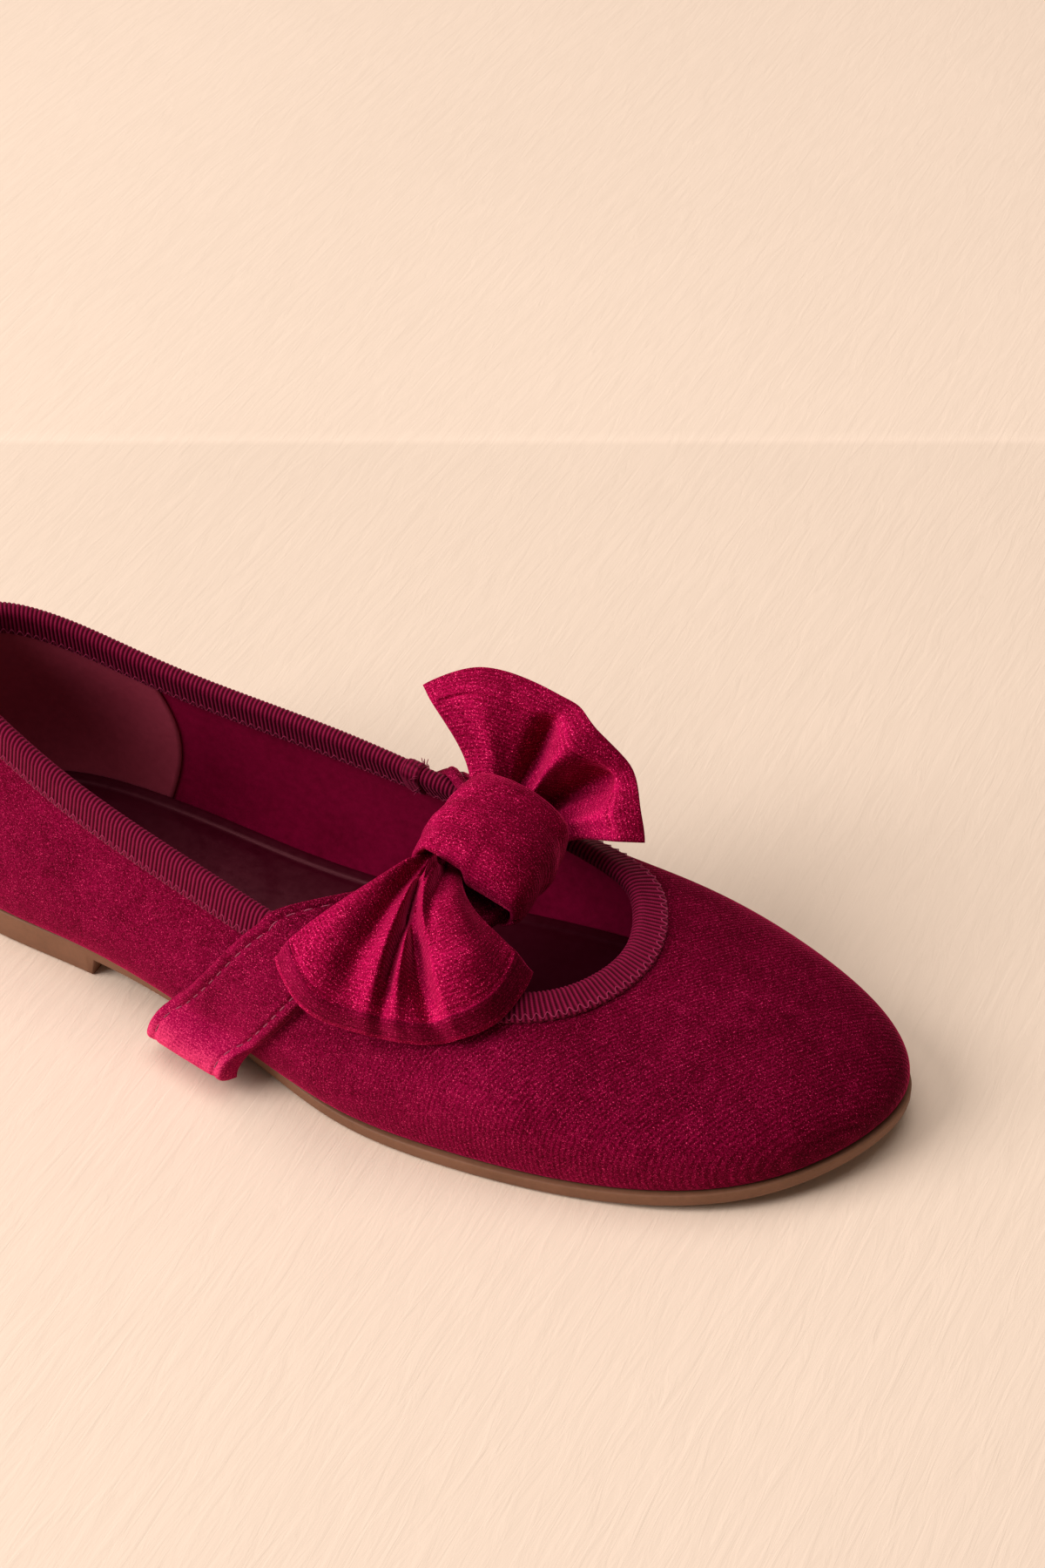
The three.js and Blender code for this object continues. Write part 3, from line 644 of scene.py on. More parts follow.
def plain_material(name, dark, light, roughness, scale, height, specular, sheen=0.0, tint=(1, 1, 1)):
    """A grained surface between two tones; height is how deep its grain is, in metres."""
    material, tree, shader = new_material(name)
    place = place_node(tree)
    grain = noise(tree, place, scale, 5, 0.6)
    broad = noise(tree, place, scale / 12, 3, 0.5)
    mix = weighted(tree, (grain, 0.45), (broad, 0.55))
    tree.links.new(ramp(tree, mix, [(0.3, dark), (0.7, light)]), shader.inputs["Base Color"])
    rough = stretch(tree, grain, 0.3, 0.7, roughness - 0.06, roughness + 0.08)
    tree.links.new(rough, shader.inputs["Roughness"])
    set_inputs(shader, {
        "Specular IOR Level": specular, "Specular Tint": (*tint, 1),
        "Sheen Weight": sheen, "Sheen Tint": (*tint, 1),
    })
    tree.links.new(bump(tree, grain, height, 0.6), shader.inputs["Normal"])
    return material


# The topline's length and the ribbon's measures
TOPLINE_STEPS = 2000
TOPLINE_STATIONS = np.linspace(0, 1, TOPLINE_STEPS + 1)
TOPLINE = running_length(wall(TOPLINE_STATIONS[:-1], 1.0), True)
TOPLINE_LENGTH = TOPLINE[-1]
TAPE_REACH = TAPE_DEPTH + 3  # from the topline to an edge of the ribbon, with its turn
RIB_PITCH = 1.1
RIB_COUNT = round(TOPLINE_LENGTH / RIB_PITCH)
RIB_HEIGHT = 0.32
RIB_SAMPLES = 6
SELVEDGE = 1.3

VELVET = velvet_material("velvet", rib_angles=(0, 0, 35), ribs=0.14, grain=0.46, speckle=0.8, shade=1.15)
# The strap's velvet carries a painted sheen highlight on its lower end, low on the wall.
STRAP_VELVET = velvet_material(
    "velvet_strap", ribs=0.06, grain=0.42, speckle=0.9, shade=1.2, painted_sheen_below=0.02,
)
# The bow's velvet is a brighter copy, partly for its pile running another way and partly painted light.
BOW_VELVET_WITH_PAINTED_LIGHT = velvet_material("velvet_bow_with_painted_light", ribs=0.12, grain=0.4, speckle=0.85, shade=2.25)
# A darker copy of the velvet for the outer tail's hem band: painted shade.
HEM_VELVET_PAINTED_SHADE = velvet_material("velvet_hem_painted_shade", ribs=0.12, grain=0.4, speckle=0.7, shade=1.3)
RIBBON = ribbon_material(TOPLINE_LENGTH / RIB_COUNT)
LINING = plain_material(
    "lining", (0.14, 0.0012, 0.02), (0.3, 0.0036, 0.05), 0.8, 520, 0.0002, 0.1, 0.5, (1, 0.03, 0.17),
)
HEEL_LEATHER = plain_material(
    "heel_lining", (0.39, 0.046, 0.09), (0.54, 0.078, 0.14), 0.55, 500, 0.00012, 0.3, tint=(1, 0.6, 0.6),
)
INSOLE_LEATHER = plain_material(
    "insole", (0.035, 0.001, 0.006), (0.055, 0.002, 0.011), 0.36, 450, 0.00006, 0.5, tint=(1, 0.35, 0.42),
)
SOLE = plain_material("sole", (0.19, 0.088, 0.048), (0.27, 0.128, 0.075), 0.55, 700, 0.00012, 0.3)
THREAD = plain_material(
    "thread", (0.22, 0.015, 0.055), (0.38, 0.045, 0.12), 0.6, 2500, 0.00005, 0.2, 0.3, (1, 0.2, 0.35),
)
STITCH = plain_material("stitch", (0.26, 0.02, 0.07), (0.44, 0.07, 0.16), 0.5, 2500, 0.00005, 0.4, 0.3)


# Upper and lining

# Soft dents and swells of the outside: station round the ring, share up the wall, their two spreads and
# the depth in mm, with swells negative.
DENTS = [
    (0.13, 0.45, 0.03, 0.25, 0.5),
    (0.185, 0.6, 0.015, 0.3, 0.35),
    (0.3, 0.4, 0.012, 0.35, 0.4),
    (0.36, 0.35, 0.02, 0.2, -0.35),
    (0.42, 0.55, 0.018, 0.25, 0.3),
    (0.47, 0.75, 0.02, 0.15, 0.35),
    (0.55, 0.6, 0.02, 0.2, -0.3),
    (0.63, 0.5, 0.02, 0.3, 0.35),
    (0.82, 0.5, 0.03, 0.3, 0.45),
    (0.93, 0.5, 0.02, 0.3, 0.3),
]
RING_COUNT = 520
WALL_COUNT = 56
INNER_COUNT = 36


def dents(t, v):
    depth = np.zeros(np.broadcast(t, v).shape)
    for t0, v0, t_spread, v_spread, amount in DENTS:
        away = (np.mod(t - t0 + 0.5, 1) - 0.5) / t_spread
        depth -= amount * np.exp(-(away**2) - ((v - v0) / v_spread) ** 2)
    return depth


def make_upper():
    t = np.linspace(0, 1, RING_COUNT, endpoint=False)[:, None]
    v = np.linspace(0, 1, WALL_COUNT)[None, :]
    feather = 0.5 * np.exp(-v / 0.025)
    outside = wall(t, v, dents(t, v) * np.sin(np.pi * v) - feather)
    v_in = np.linspace(1, 0, INNER_COUNT)[None, :]
    inside = wall(t, v_in, -WALL)
    points = np.concatenate([outside, inside], 1)
    around = running_length(wall(t[:, 0], 0.3), True)
    up = np.concatenate([np.linspace(0, 50, WALL_COUNT), np.linspace(52, 100, INNER_COUNT), [102]])
    uv = uv_grid(around[:, None], up[None, :])
    obj = grid_object("velvet_upper", points, uv)
    outward_faces(obj)
    obj.data.materials.append(VELVET)
    obj.data.materials.append(LINING)
    columns = np.tile(np.arange(WALL_COUNT + INNER_COUNT), RING_COUNT)
    obj.data.polygons.foreach_set("material_index", (columns >= WALL_COUNT).astype(np.int32))
    return dress(obj, None, "velvet", "upper")


# The patch inside the heel: how far it stands off the wall and how thick it is, where it starts up the wall,
# and how far round the ring it reaches, with the bow of its front edges.
PATCH_LIFT, PATCH_THICKNESS = 0.15, 0.45
PATCH_LOW = 0.02
PATCH_REACH, PATCH_BOW = 0.146, 0.016


def make_heel_lining():
    """A smooth patch glued inside the back, with a curved front edge on each side."""
    row = np.linspace(0, 1, 40)[:, None]
    t = np.linspace(-1, 1, 150) * (PATCH_REACH + PATCH_BOW * np.sin(np.pi * (0.25 + 0.6 * row)))
    high = np.array([v_below(stations, TAPE_DEPTH - 0.6) for stations in t])
    v = lerp(PATCH_LOW, high, row)
    outer = wall(t, v, -WALL - PATCH_LIFT)
    inner = wall(t, v, -WALL - PATCH_LIFT - PATCH_THICKNESS)
    return dress(sheet_object("heel_lining", outer, inner), HEEL_LEATHER, "insole_leather")


# Insole and outsole

def foot_edge(t, inset):
    row = ring(t)
    flat = np.stack([row[..., 0], row[..., 1], np.zeros_like(row[..., 0])], -1)
    return flat - outward(t, 0) * np.asarray(inset)[..., None]


def edge_distance(points, outline):
    """Distance in plan from each point to a dense outline."""
    flat = points[..., :2].reshape(-1, 2)
    best = np.full(len(flat), np.inf)
    for start in range(0, len(outline), 200):
        part = outline[start:start + 200, :2]
        apart = np.linalg.norm(flat[:, None] - part[None], axis=-1)
        best = np.minimum(best, apart.min(1))
    return best.reshape(points.shape[:-1])


def slab_object(name, stations, inset, top, bottom, across_count=41):
    """A slab in the shape of the foot line. stations run along the outer side from heel back to toe tip,
    with a flag for the part they belong to. top and bottom give heights from x, edge distance and share."""
    t = np.array([s[0] for s in stations])
    part = np.array([s[1] for s in stations], float)
    last = len(t) - 1
    around_t = np.concatenate([t, (1 - t)[last - 1:0:-1]])
    around_part = np.concatenate([part, part[last - 1:0:-1]])
    count = len(around_t)
    steps = np.array([0, 0.12, 0.35, 0.7, 1.1, 1.6])

    def loop(away, heights):
        plan = foot_edge(around_t, inset(around_t) + away)
        plan[:, 2] = heights(plan[:, 0], np.full(count, away))
        return plan

    edge_share = np.where(np.arange(count) <= last, 0.0, 1.0)
    loops = [loop(a, lambda x, away: top(x, away, edge_share)) for a in steps[::-1]]
    loops += [loop(a, lambda x, away: bottom(x, away, around_part)) for a in steps]
    points = np.concatenate(loops)
    faces = []
    for level in range(len(loops) - 1):
        i = np.arange(count)
        j = (i + 1) % count
        low, high = level * count, (level + 1) * count
        faces += np.stack([low + i, low + j, high + j, high + i], -1).tolist()
    shares = 0.5 - 0.5 * np.cos(np.pi * np.linspace(0, 1, across_count)[1:-1])
    dense = np.linspace(0, 1, 2400, endpoint=False)
    outline = foot_edge(dense, inset(dense))
    inner = len(shares)
    for level, over in ((0, True), (len(loops) - 1, False)):
        ring_points = loops[level]
        near = ring_points[1:last]
        far = ring_points[:last:-1]
        plan = near[:, None] + (far - near)[:, None] * shares[None, :, None]
        away = edge_distance(plan, outline)
        if over:
            plan[..., 2] = top(plan[..., 0], away, shares[None, :])
        else:
            plan[..., 2] = bottom(plan[..., 0], away, part[1:last, None])
        start = len(points)
        points = np.concatenate([points, plan.reshape(-1, 3)])
        base = level * count

        def spot(i, j):
            if i in (0, last) or j == 0:
                return base + i
            if j == inner + 1:
                return base + count - i
            return start + (i - 1) * inner + j - 1

        for i in range(last):
            for j in range(inner + 1):
                face = [spot(i + 1, j), spot(i, j), spot(i, j + 1), spot(i + 1, j + 1)]
                face = [v for k, v in enumerate(face) if v != face[k - 1]]
                faces.append(face if over else face[::-1])
    obj = outward_faces(mesh_object(name, points, faces))
    obj.data.set_sharp_from_angle(angle=math.radians(50))
    return obj


def rounding(away, radius):
    """How far a rounded edge falls back at a distance from the edge."""
    inside = np.clip(radius - away, 0, radius)
    return radius - np.sqrt(radius**2 - inside**2)


BREAST_SLANT = 0.0016  # share of the ring over which the sole drops from the heel block


def make_outsole():
    breast_t = 0.15
    for _ in range(30):
        slope = (ring(breast_t + 1e-3)[0] - ring(breast_t - 1e-3)[0]) / 2e-3
        breast_t += (BREAST_X - ring(breast_t)[0]) / slope
    stations = [(t, 1) for t in np.linspace(0, breast_t, 80)]
    stations += [(t, 0) for t in np.linspace(breast_t + BREAST_SLANT, 0.5, 180)]
    return dress(slab_object(
        "moulded_sole", stations, lambda t: -ring(t)[..., 9],
        lambda x, away, share: seat_height(x) - rounding(away, 0.5),
        lambda x, away, part: np.where(part > 0, 0, tread_height(x)) + rounding(away, 1.1),
    ), SOLE, "sole_rubber", "outsole")


HEEL_PAD_FRONT = 62  # x of the front edge of the heel pad in the insole


def make_insole():
    def top(x, away, share):
        bed = seat_height(x) + GAP + INSOLE_THICKNESS + INSOLE_DISH * (2 * share - 1) ** 2
        front = HEEL_PAD_FRONT - 14 * (2 * share - 1) ** 2
        pad = 0.5 * smooth((front - x) / 3) * smooth((away - 5) / 3)
        welt = 0.35 * np.exp(-((away - 4.2) / 0.7) ** 2)
        return bed + pad - welt - rounding(away, 1.0)

    stations = [(t, 0) for t in np.linspace(0, 0.5, 230)]
    return dress(slab_object(
        "insole_sock", stations, lambda t: np.full(np.shape(t), WALL + INSOLE_FIT),
        top, lambda x, away, part: seat_height(x) + GAP, 61,
    ), INSOLE_LEATHER, "insole_leather", "insole")


# Ribbon binding

def stations_by_length(count):
    """Stations spaced evenly along the topline."""
    return np.interp(np.linspace(0, TOPLINE_LENGTH, count, endpoint=False), TOPLINE, TOPLINE_STATIONS)


def tape_frame(t, place):
    """Point and normal of the tape's outer face. place runs from -1 at the outer edge over the topline at 0
    to 1 at the edge inside."""
    half = WALL / 2 + GAP + TAPE_THICKNESS
    over = half * math.pi / 2
    reach = np.abs(place) * (TAPE_DEPTH + over)
    depth = np.maximum(0, reach - over)
    angle = np.clip(reach / over, 0, 1) * math.pi / 2
    v = np.stack([v_below(t, d) for d in depth], 1)
    point, normal, up = wall_frame(t[:, None], v)
    middle = point - normal * WALL / 2
    side = np.where(place < 0, 1, -1)[None, :, None] * normal
    direction = side * np.sin(angle)[None, :, None] + up * np.cos(angle)[None, :, None]
    return middle + direction * half, direction


def make_binding():
    t = stations_by_length(RIB_COUNT * RIB_SAMPLES)
    edge = np.array([-1, -0.97, -0.93, -0.88, -0.82, -0.76, -0.68, -0.58, -0.48, -0.36, -0.24, -0.12, 0])
    place = np.concatenate([edge, -edge[-2::-1]])
    face, direction = tape_frame(t, place)
    phase = np.arange(len(t)) / RIB_SAMPLES * 2 * np.pi
    rib = np.abs(np.cos(phase / 2))[:, None] ** 0.8
    selvedge = smooth((1 - np.abs(place)) * TAPE_REACH / SELVEDGE)[None, :]
    picot = 0.5 + 0.5 * np.cos(phase / 2)[:, None]
    face = face + direction * (RIB_HEIGHT * (rib * (0.3 + 0.7 * selvedge) - 0.6))[..., None]
    face[..., 2] -= np.where(np.abs(place) > 0.99, 0.3, 0)[None, :] * picot
    back = face[:, ::-1] - direction[:, ::-1] * (TAPE_THICKNESS * 0.8)
    points = np.concatenate([face, back], 1)
    around = np.linspace(0, TOPLINE_LENGTH, len(t) + 1)
    across = np.concatenate([place, place[::-1], [place[0]]]) * TAPE_REACH
    uv = uv_grid(around[:, None], across[None, :])
    obj = outward_faces(grid_object("ribbon_binding", points, uv))
    return dress(obj, RIBBON, "ribbon", "topline_binding")


ZIGZAG_PITCH = 2.2
ZIGZAG_INSET = 0.9


def make_binding_stitches():
    """A zigzag of thread along both edges of the ribbon."""
    count = round(TOPLINE_LENGTH / ZIGZAG_PITCH) * 6
    t = stations_by_length(count)
    phase = np.arange(count) / 6 * 2 * np.pi
    point, normal, _ = wall_frame(t, v_below(t, TAPE_DEPTH - ZIGZAG_INSET + 0.75 * np.cos(phase)))
    lift = GAP + TAPE_THICKNESS + 0.1 + 0.1 * np.cos(phase * 2)
    for name, out in (("outer_edge_stitches", lift), ("inner_edge_stitches", -WALL - lift)):
        path = point + normal * out[:, None]
        dress(thread_object(name, [np.concatenate([path, path[:1]])], 0.13), THREAD, "ribbon")


# Where the ribbon's two ends meet on the inner side.
JOINT_T = 0.738
JOINT_LENGTH = 4.5


JOINT_ROWS, JOINT_COLUMNS = 26, 41
FRAY_LEAN = np.array([-0.7, 0.0, 0.25])


def make_ribbon_joint():
    """The ribbon's end laps over its beginning, with a few loose threads."""
    place = np.interp(JOINT_T, TOPLINE_STATIONS, TOPLINE)
    spots = np.linspace(place - JOINT_LENGTH / 2, place + JOINT_LENGTH / 2, JOINT_ROWS)
    t = np.interp(spots, TOPLINE, TOPLINE_STATIONS)
    face, direction = tape_frame(t, np.linspace(-0.97, 0.97, JOINT_COLUMNS))
    fall = np.sqrt(np.clip(1 - np.abs(np.linspace(-1, 1, JOINT_ROWS)) ** 6, 0, 1))[:, None]
    rib = 0.12 * np.abs(np.cos(np.pi * (spots - place) / RIB_PITCH))[:, None]
    outer = face + direction * (0.12 + (0.42 + rib) * fall)[..., None]
    inner = face + direction * 0.1
    dress(sheet_object("ribbon_lap", inner, outer), RIBBON, "ribbon")
    rng = np.random.default_rng(7)
    s = np.linspace(0, 1, 6)[:, None]
    threads = []
    for k in range(26):
        row = 2 if k % 2 else 4
        column = int(rng.integers(6, 36))
        lean = direction[row, column] * rng.uniform(0.4, 1.0) + FRAY_LEAN * rng.uniform(0.2, 1)
        size = rng.uniform(0.9, 2.4)
        droop = rng.uniform(-0.5, 0.5, 3)
        threads.append(outer[row, column] - lean * 0.1 + lean * s * size + droop * s**2)
    dress(thread_object("frayed_threads", threads, 0.11, 5), THREAD, "ribbon")


# Strap

EDGE_RADIUS = 1.3  # rounding of the long edges of the strap and of the tails' edges
HIDDEN_FROM, HIDDEN_TO = 0.3, 0.7  # shares of the strap between which its front stitches lie under the bow
STITCH_INSET = 3.2
STITCH_LENGTH = 2.1
STITCH_PITCH = 3.7


def strap_rows():
    """Inner face of the strap as rows from the outer sole seam over the foot to the inner one."""
    u = np.linspace(0, 1, 61)
    clear = GAP + TAPE_THICKNESS + GAP

    def on_wall(side):
        v = np.linspace(STRAP_HANG, 1, 56)[:, None]
        foot = lerp(*side["foot"], u)[None, :]
        top = lerp(*side["top"], u)[None, :]
        stand_off = lerp(GAP, clear, smooth((v - 0.4) / 0.35))
        worn = wall(lerp(foot, top, v), v, stand_off)
        start = worn[:1]
        up = unit(worn[1:2] - start)
        end = wall(lerp(foot, top, STRAP_HANG_END), STRAP_HANG, GAP + STRAP_FLARE)
        end[..., 2] = STRAP_END_HEIGHT
        drop = start[..., 2:] - STRAP_END_HEIGHT
        lead = end + np.array([0, 0, 0.35]) * drop
        q = np.linspace(1, 0.04, 24)[:, None]
        return np.concatenate([bezier([start, start - up * 0.4 * drop, lead, end], q), worn])

    def span(side, inward):
        t = lerp(*side["top"], u)
        point, normal, up = wall_frame(t, np.ones_like(t))
        edge = point + normal * clear
        turn = edge + up * lerp(STRAP_TURN, STRAP_TURN_FRONT, u)[:, None]
        forward = (u - 0.5) * STRAP_PINCH
        mouth_out = KNOT_HALF_WIDTH * 0.6
        mouth = at_knot(forward, -inward * mouth_out, STRAP_FLOOR)
        lead_out = lerp(mouth_out, np.abs(edge[:, 1] - KNOT_MIDDLE[1]), 0.4)
        lead = at_knot(forward, -inward * lead_out, STRAP_FLOOR)
        return bezier([h[None] for h in (edge, turn, lead, mouth)], np.linspace(0, 1, 56)[1:, None])

    outer, inner = STRAP["outer"], STRAP["inner"]
    return np.concatenate([
        on_wall(outer), span(outer, 1), span(inner, -1)[::-1], on_wall(inner)[::-1],
    ])


def grid_normals(grid):
    along = np.gradient(grid, axis=0)
    across = np.gradient(grid, axis=1)
    return unit(np.cross(across, along))


def edge_round(away, radius, least=0.0):
    """Height of a rounded edge at a distance from it, as a share of its full height."""
    return np.sqrt(np.clip(1 - (1 - np.minimum(away, radius) / radius) ** 2, least, 1))


def strap_faces():
    """Both faces of the strap in even rows, with its normals and the rows' distances along it."""
    inner = strap_rows()
    along = running_length(inner.mean(1))
    even = np.linspace(0, along[-1], 420)
    inner = np.stack([points_at(even, along, inner[:, j]) for j in range(inner.shape[1])], 1)
    normal = grid_normals(inner)
    from_end = np.minimum(even, even[-1] - even)[:, None]
    swell = lerp(STRAP_END_THICKNESS, STRAP_THICKNESS, smooth((from_end - 4) / 11))
    nose = edge_round(from_end, 2.6, 0.02)
    width = np.linalg.norm(inner[:, -1] - inner[:, 0], axis=-1)[:, None]
    share = np.linspace(0, 1, inner.shape[1])[None, :]
    from_edge = np.minimum(share, 1 - share) * width
    groove = 0.45 * np.exp(-((from_edge - STITCH_INSET) / 0.55) ** 2)
    ripple = 0.18 * np.sin(even[:, None] / 5.3 + 3 * share) * np.sin(np.pi * share)
    height = nose * (swell * (0.12 + 0.88 * edge_round(from_edge, EDGE_RADIUS)) - groove + ripple)
    return inner, inner + normal * height[..., None], normal, even


def make_strap():
    inner, outer, normal, even = strap_faces()
    dress(sheet_object("velvet_strap", inner, outer), STRAP_VELVET, "velvet", "strap")
    width = np.linalg.norm(inner[:, -1] - inner[:, 0], axis=-1)
    rows = np.arange(len(even))
    arch = 0.16 * np.sin(np.pi * np.linspace(0, 1, 6))[:, None] - 0.06
    for name, front in (("strap_rear_stitches", False), ("strap_front_stitches", True)):
        share = STITCH_INSET / width
        column = (1 - share if front else share) * (inner.shape[1] - 1)
        low = np.floor(column).astype(int)
        line = lerp(outer[rows, low], outer[rows, low + 1], (column - low)[:, None])
        dashes = []
        start = 3.0
        while start + STITCH_LENGTH < even[-1] - 3:
            if front and HIDDEN_FROM < start / even[-1] < HIDDEN_TO:
                start = HIDDEN_TO * even[-1]
            spots = np.linspace(start, start + STITCH_LENGTH, 6)
            dashes.append(points_at(spots, even, line) + points_at(spots, even, normal[rows, low]) * arch)
            start += STITCH_PITCH
        dress(thread_object(name, dashes, 0.14), STITCH, "ribbon")


# Knot and bow tails

# Half of the knot's section from the middle of its bore, round its mouth and out to the middle of the band:
# share of the way from the bore to the outside, and share of the half width.
KNOT_SECTION = np.array([
    (0, 0.0), (0, 0.3), (0, 0.5), (0.12, 0.72), (0.25, 0.9), (0.4, 0.98), (0.55, 1.0),
    (0.7, 0.95), (0.82, 0.85), (0.91, 0.7), (0.96, 0.52), (0.99, 0.35), (1.0, 0.18), (1.0, 0.0),
])


def make_knot():
    """A soft band closed round the strap and the roots of the tails."""
    bore_top = KNOT_BORE_TOP - 1.4
    middle = (bore_top - KNOT_BORE_BOTTOM) / 2
    bore_height = (bore_top + KNOT_BORE_BOTTOM) / 2
    bore_length = STRAP_PINCH / 2 + 2 * GAP
    turn = np.linspace(0, 2 * np.pi, 200, endpoint=False)[:, None]
    c, s = np.cos(turn), np.sin(turn)
    square = 1 / np.maximum(np.abs(c), np.abs(s))
    rounded = (np.abs(c) ** 2.6 + np.abs(s) ** 2.6) ** (-1 / 2.6)
    half = KNOT_HALF_WIDTH * (0.78 + 0.22 * np.maximum(0, s))
    out, side = KNOT_SECTION.T
    share = np.concatenate([out, out[-2:0:-1]])[None, :]
    y = np.concatenate([-side, side[-2:0:-1]])[None, :]
    crease = 0.55 * np.exp(-((y - 0.35 - 0.25 * c) / 0.12) ** 2)
    crease = crease + 0.4 * np.exp(-((y + 0.4 - 0.2 * c) / 0.1) ** 2)
    fold = (1 - crease * 0.12 * share) * (1 + 0.02 * np.sin(3 * turn + 4 * y) * share)
    forward = c * lerp(bore_length * square, KNOT_HALF_LENGTH * rounded * fold, share)
    reach = np.where(s > 0, KNOT_TOP - middle, KNOT_BOTTOM + middle)
    up = middle + s * lerp(bore_height * square, reach * rounded * fold, share)
    closed = 4.4 * smooth((forward + 2.5) / 3) * smooth(-y / 0.4) * smooth(s / 0.3) * (1 - share)
    points = at_knot(forward, y * half, up - closed)
    around = np.linspace(0, 70, points.shape[0] + 1)[:, None]
    across = np.linspace(0, 60, points.shape[1] + 1)[None, :]
    obj = outward_faces(grid_object("velvet_knot", points, uv_grid(across, around)))
    return dress(obj, BOW_VELVET_WITH_PAINTED_LIGHT, "velvet", "knot")


def catmull(points, w):
    """A smooth curve through evenly spaced points, at the shares w."""
    points = np.asarray(points, float)
    count = len(points) - 1
    place = np.clip(w, 0, 1) * count
    i = np.minimum(count - 1, np.floor(place).astype(int))
    f = (place - i)[:, None]
    ahead = np.concatenate([[2 * points[0] - points[1]], points, [2 * points[-1] - points[-2]]])
    a, b, c, d = (ahead[i + k] for k in range(4))
    return 0.5 * (2 * b + (c - a) * f + (2 * a - 5 * b + 4 * c - d) * f**2 + (3 * b - a - 3 * c + d) * f**3)


def table_surface(table, s, w):
    """A smooth surface through a table of heights."""
    columns = catmull(np.array(table).T, w)
    return catmull(columns.T, s)


CORNER = 0.025  # share of the length that the rounded corners fall short of the rim
HEM = 5.4  # from the rim of a tail to the seam of its hem
HEM_CURL = 4.2  # how far the hem curls down
HEM_RIM, HEM_SEAM = 0.9, 0.5  # strips at the rim and at the seam that keep the velvet of the tail, outside the painted shade of the hem
SEAM_SPREAD = 0.55

# Flat width, length and area of each tail as cut, in metres.
OUTER_TAIL_CUT = (0.076, 0.070, 0.00285)
INNER_TAIL_CUT = (0.078, 0.046, 0.00224)


def crease_lift(side, s, w):
    """Height that the creases of a tail add, fading towards the knot and the rim."""
    lift = np.zeros((len(s), len(w)))
    fade = smooth((s - 0.17) / 0.16) * (1 - 0.75 * smooth((s - 0.78) / 0.2))
    for kind, height, spread, course in CREASES[side]:
        along, across = np.array(course).T
        away = (w[None, :] - np.interp(s, along, across)[:, None]) / spread
        if kind == "lobe":
            form = smooth(away / 2 + 0.5) * (1 - 0.75 * smooth((away * spread - 0.05) / 0.36))
        else:
            form = np.exp(-(away**2))
        lift += height * form * fade[:, None]
    return lift


def tail_grid(side, inward):
    """Underside of a tail, its normals, and the shares along and across at which they lie."""
    w = np.linspace(0, 1, 180)
    s = np.linspace(0, 1, 120)
    rows = catmull(TAILS[side], w)
    floor = STRAP_FLOOR + STRAP_THICKNESS + GAP + PLEAT_DEPTH
    root = at_knot(rows[:, 0] * STRAP_PINCH, inward * GAP, floor)
    mouth = at_knot(rows[:, 1] * STRAP_PINCH, inward * KNOT_HALF_WIDTH * rows[:, 2], floor)

    def place(at, out, up):
        return np.stack([lengthwise(at), out * BALL_WIDTH / 2, up * KNOT_HEIGHT], -1)

    handles = [root, mouth, place(*rows[:, 3:6].T), place(*rows[:, 6:9].T)]
    corner = CORNER * np.abs(2 * w - 1)[None, :] ** 14
    flat = bezier([h[None] for h in handles], s[:, None] * (1 - corner))
    normal = grid_normals(flat)
    normal = np.where(normal[..., 2:3] < 0, -normal, normal)
    lift = 0.5 * FOLD_HEIGHT * table_surface(FOLDS[side], s, w) + crease_lift(side, s, w)
    return flat + normal * lift[..., None], normal, s[:, None], w


def shade_hem(obj, from_tip):
    """Gives the band between the seam and the rim a darker velvet, painted shade of the curled hem."""
    obj.data.materials.append(HEM_VELVET_PAINTED_SHADE)
    rows, columns = from_tip.shape
    first = np.array([polygon.vertices[0] for polygon in obj.data.polygons])
    column = first % (2 * columns)
    column = np.where(column < columns, column, 2 * columns - 1 - column)
    away = from_tip[np.minimum(first // (2 * columns), rows - 1), column]
    painted_shade_band = (away < HEM - HEM_SEAM) & (away > HEM_RIM)
    obj.data.polygons.foreach_set("material_index", painted_shade_band.astype(np.int32))


def make_tail(name, side, inward, node):
    under, normal, s, w = tail_grid(side, inward)
    steps = np.linalg.norm(np.diff(under, axis=0), axis=-1)
    from_tip = np.concatenate([np.cumsum(steps[::-1], 0)[::-1], np.zeros((1, len(w)))])
    across = np.linalg.norm(np.diff(under, axis=1), axis=-1)
    from_rear = np.concatenate([np.zeros((len(s), 1)), np.cumsum(across, 1)], 1)
    from_side = np.minimum(from_rear, from_rear[:, -1:] - from_rear)
    under = under - normal * (HEM_CURL * smooth((HEM - from_tip) / HEM) ** 1.5)[..., None]
    nearest = np.minimum(from_tip, from_side)
    seam = 0.55 * np.exp(-((from_tip - HEM) / SEAM_SPREAD) ** 2) * smooth(from_side / 4)
    half = TAIL_THICKNESS / 2
    middle = under + normal * half
    swell = half * (0.15 + 0.85 * edge_round(nearest, EDGE_RADIUS))
    obj = sheet_object(name, middle - normal * swell[..., None], middle + normal * (swell - seam)[..., None])
    dress(obj, BOW_VELVET_WITH_PAINTED_LIGHT, "velvet", node)
    if side == "outer":
        shade_hem(obj, from_tip)
    return obj


# Floor, light and camera

TARGET = np.array([90, 80, 0.0])
CAMERA_TURN = 26.0
CAMERA_TILT = 40.6
CAMERA_DISTANCE = 785
LENS = 70
SENSOR = 36
LIGHT_AIM = (0.08, 0.0, 0.02)
LIGHT_COLOUR = (1.0, 0.96, 0.93)
FLOOR_SEAM = 0.1884  # distance of the pale line behind the shoe from the origin
FLOOR_HALF_SIZE = 12.0


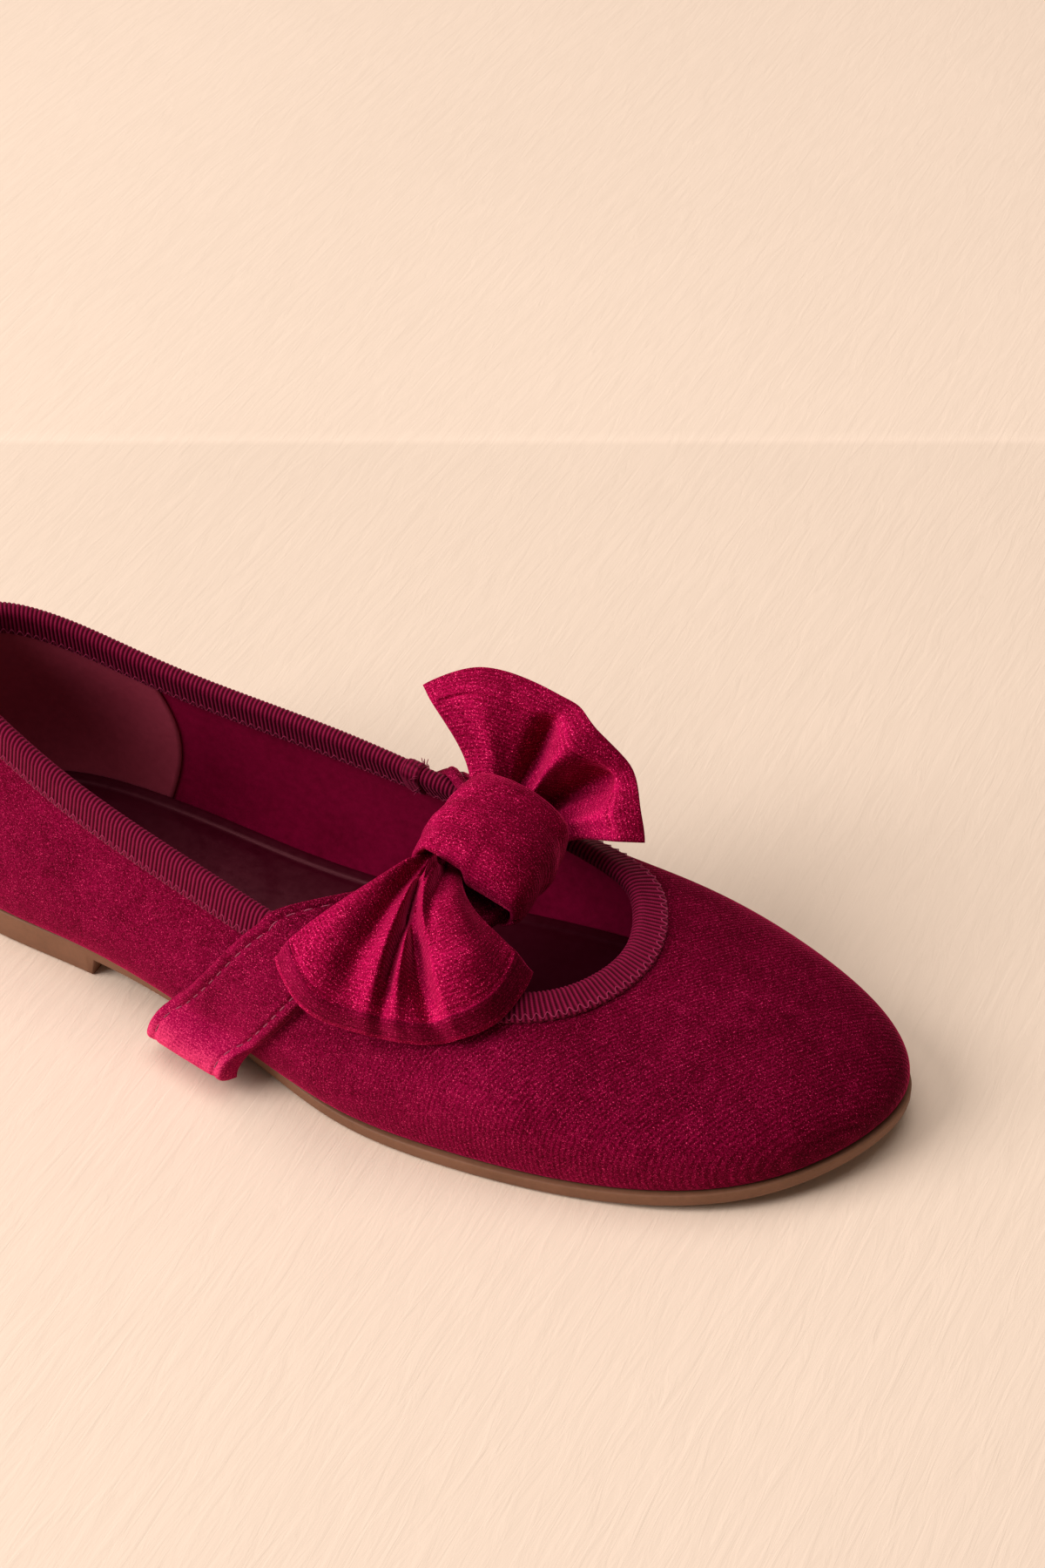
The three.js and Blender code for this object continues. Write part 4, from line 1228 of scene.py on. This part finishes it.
def make_camera():
    turn, tilt = math.radians(CAMERA_TURN), math.radians(CAMERA_TILT)
    back = np.array([math.sin(turn) * math.cos(tilt), -math.cos(turn) * math.cos(tilt), math.sin(tilt)])
    data = bpy.data.cameras.new("camera")
    data.lens = LENS
    data.sensor_width = SENSOR
    data.clip_start = 0.01
    camera = new_object("camera", data)
    camera.location = (TARGET + back * CAMERA_DISTANCE) * MM
    camera.rotation_euler = (math.pi / 2 - tilt, 0, turn)
    bpy.context.scene.camera = camera


def area_light(name, place, size, power):
    """A round light that shines on the shoe."""
    data = bpy.data.lights.new(name, "AREA")
    data.shape = "DISK"
    data.size = size
    data.energy = power
    data.color = LIGHT_COLOUR
    light = new_object(name, data)
    light.location = place
    x, y, z = np.array(LIGHT_AIM) - np.array(place)
    light.rotation_euler = (math.atan2(math.hypot(x, y), -z), 0, math.atan2(y, x) - math.pi / 2)


def make_floor():
    material, tree, shader = new_material("floor")
    place = place_node(tree)
    broad = noise(tree, place, 3, 3, 0.5)
    strokes = noise(tree, mapped(tree, place, (0, 0, 50), (1, 0.12, 1)), 420, 4, 0.6, 0.8)
    mix = weighted(tree, (broad, 0.6), (strokes, 0.45))
    turn = math.radians(CAMERA_TURN)
    away = dot(tree, place, (-math.sin(turn), math.cos(turn), 0))
    past = stretch(tree, away, FLOOR_SEAM - 0.002, FLOOR_SEAM + 0.001, 0, 0.35)
    edge = stretch(tree, away, FLOOR_SEAM + 0.001, FLOOR_SEAM + 0.006, 0, -0.18)
    mix = math_node(tree, "ADD", mix, math_node(tree, "ADD", past, edge))
    tone = ramp(tree, mix, [(0.3, (0.78, 0.64, 0.53)), (0.95, (0.9, 0.74, 0.62))])
    tree.links.new(tone, shader.inputs["Base Color"])
    set_inputs(shader, {"Roughness": 0.8, "Specular IOR Level": 0.2})
    tree.links.new(bump(tree, strokes, 0.0006, 0.4), shader.inputs["Normal"])
    size = FLOOR_HALF_SIZE
    corners = [(-size, -size, 0), (size, -size, 0), (size, size, 0), (-size, size, 0)]
    mesh = bpy.data.meshes.new("floor")
    mesh.from_pydata(corners, [], [(0, 1, 2, 3)])
    floor = new_object("floor", mesh)
    mesh.materials.append(material)


def make_light():
    scene = bpy.context.scene
    world = bpy.data.worlds.new("studio")
    scene.world = world
    world.use_nodes = True
    background = world.node_tree.nodes["Background"]
    background.inputs["Color"].default_value = (1.0, 0.84, 0.68, 1)
    background.inputs["Strength"].default_value = 0.2
    area_light("overhead", (-0.35, 0.1, 3.6), 3.8, 88)
    area_light("key", (-1.6, -1.5, 1.7), 1.9, 70)
    scene.view_settings.view_transform = "Standard"
    scene.view_settings.look = "None"
    scene.view_settings.exposure = -0.03
    scene.view_settings.gamma = 0.94


make_camera()
make_light()
make_floor()
make_upper()
make_heel_lining()
make_outsole()
make_insole()
make_binding()
make_binding_stitches()
make_ribbon_joint()
make_strap()
make_knot()
outer_tail = make_tail("velvet_tail_outer", "outer", -1, "outer_bow_tail")
inner_tail = make_tail("velvet_tail_inner", "inner", 1, "inner_bow_tail")
for tail, cut in ((outer_tail, OUTER_TAIL_CUT), (inner_tail, INNER_TAIL_CUT)):
    width, length, area = cut
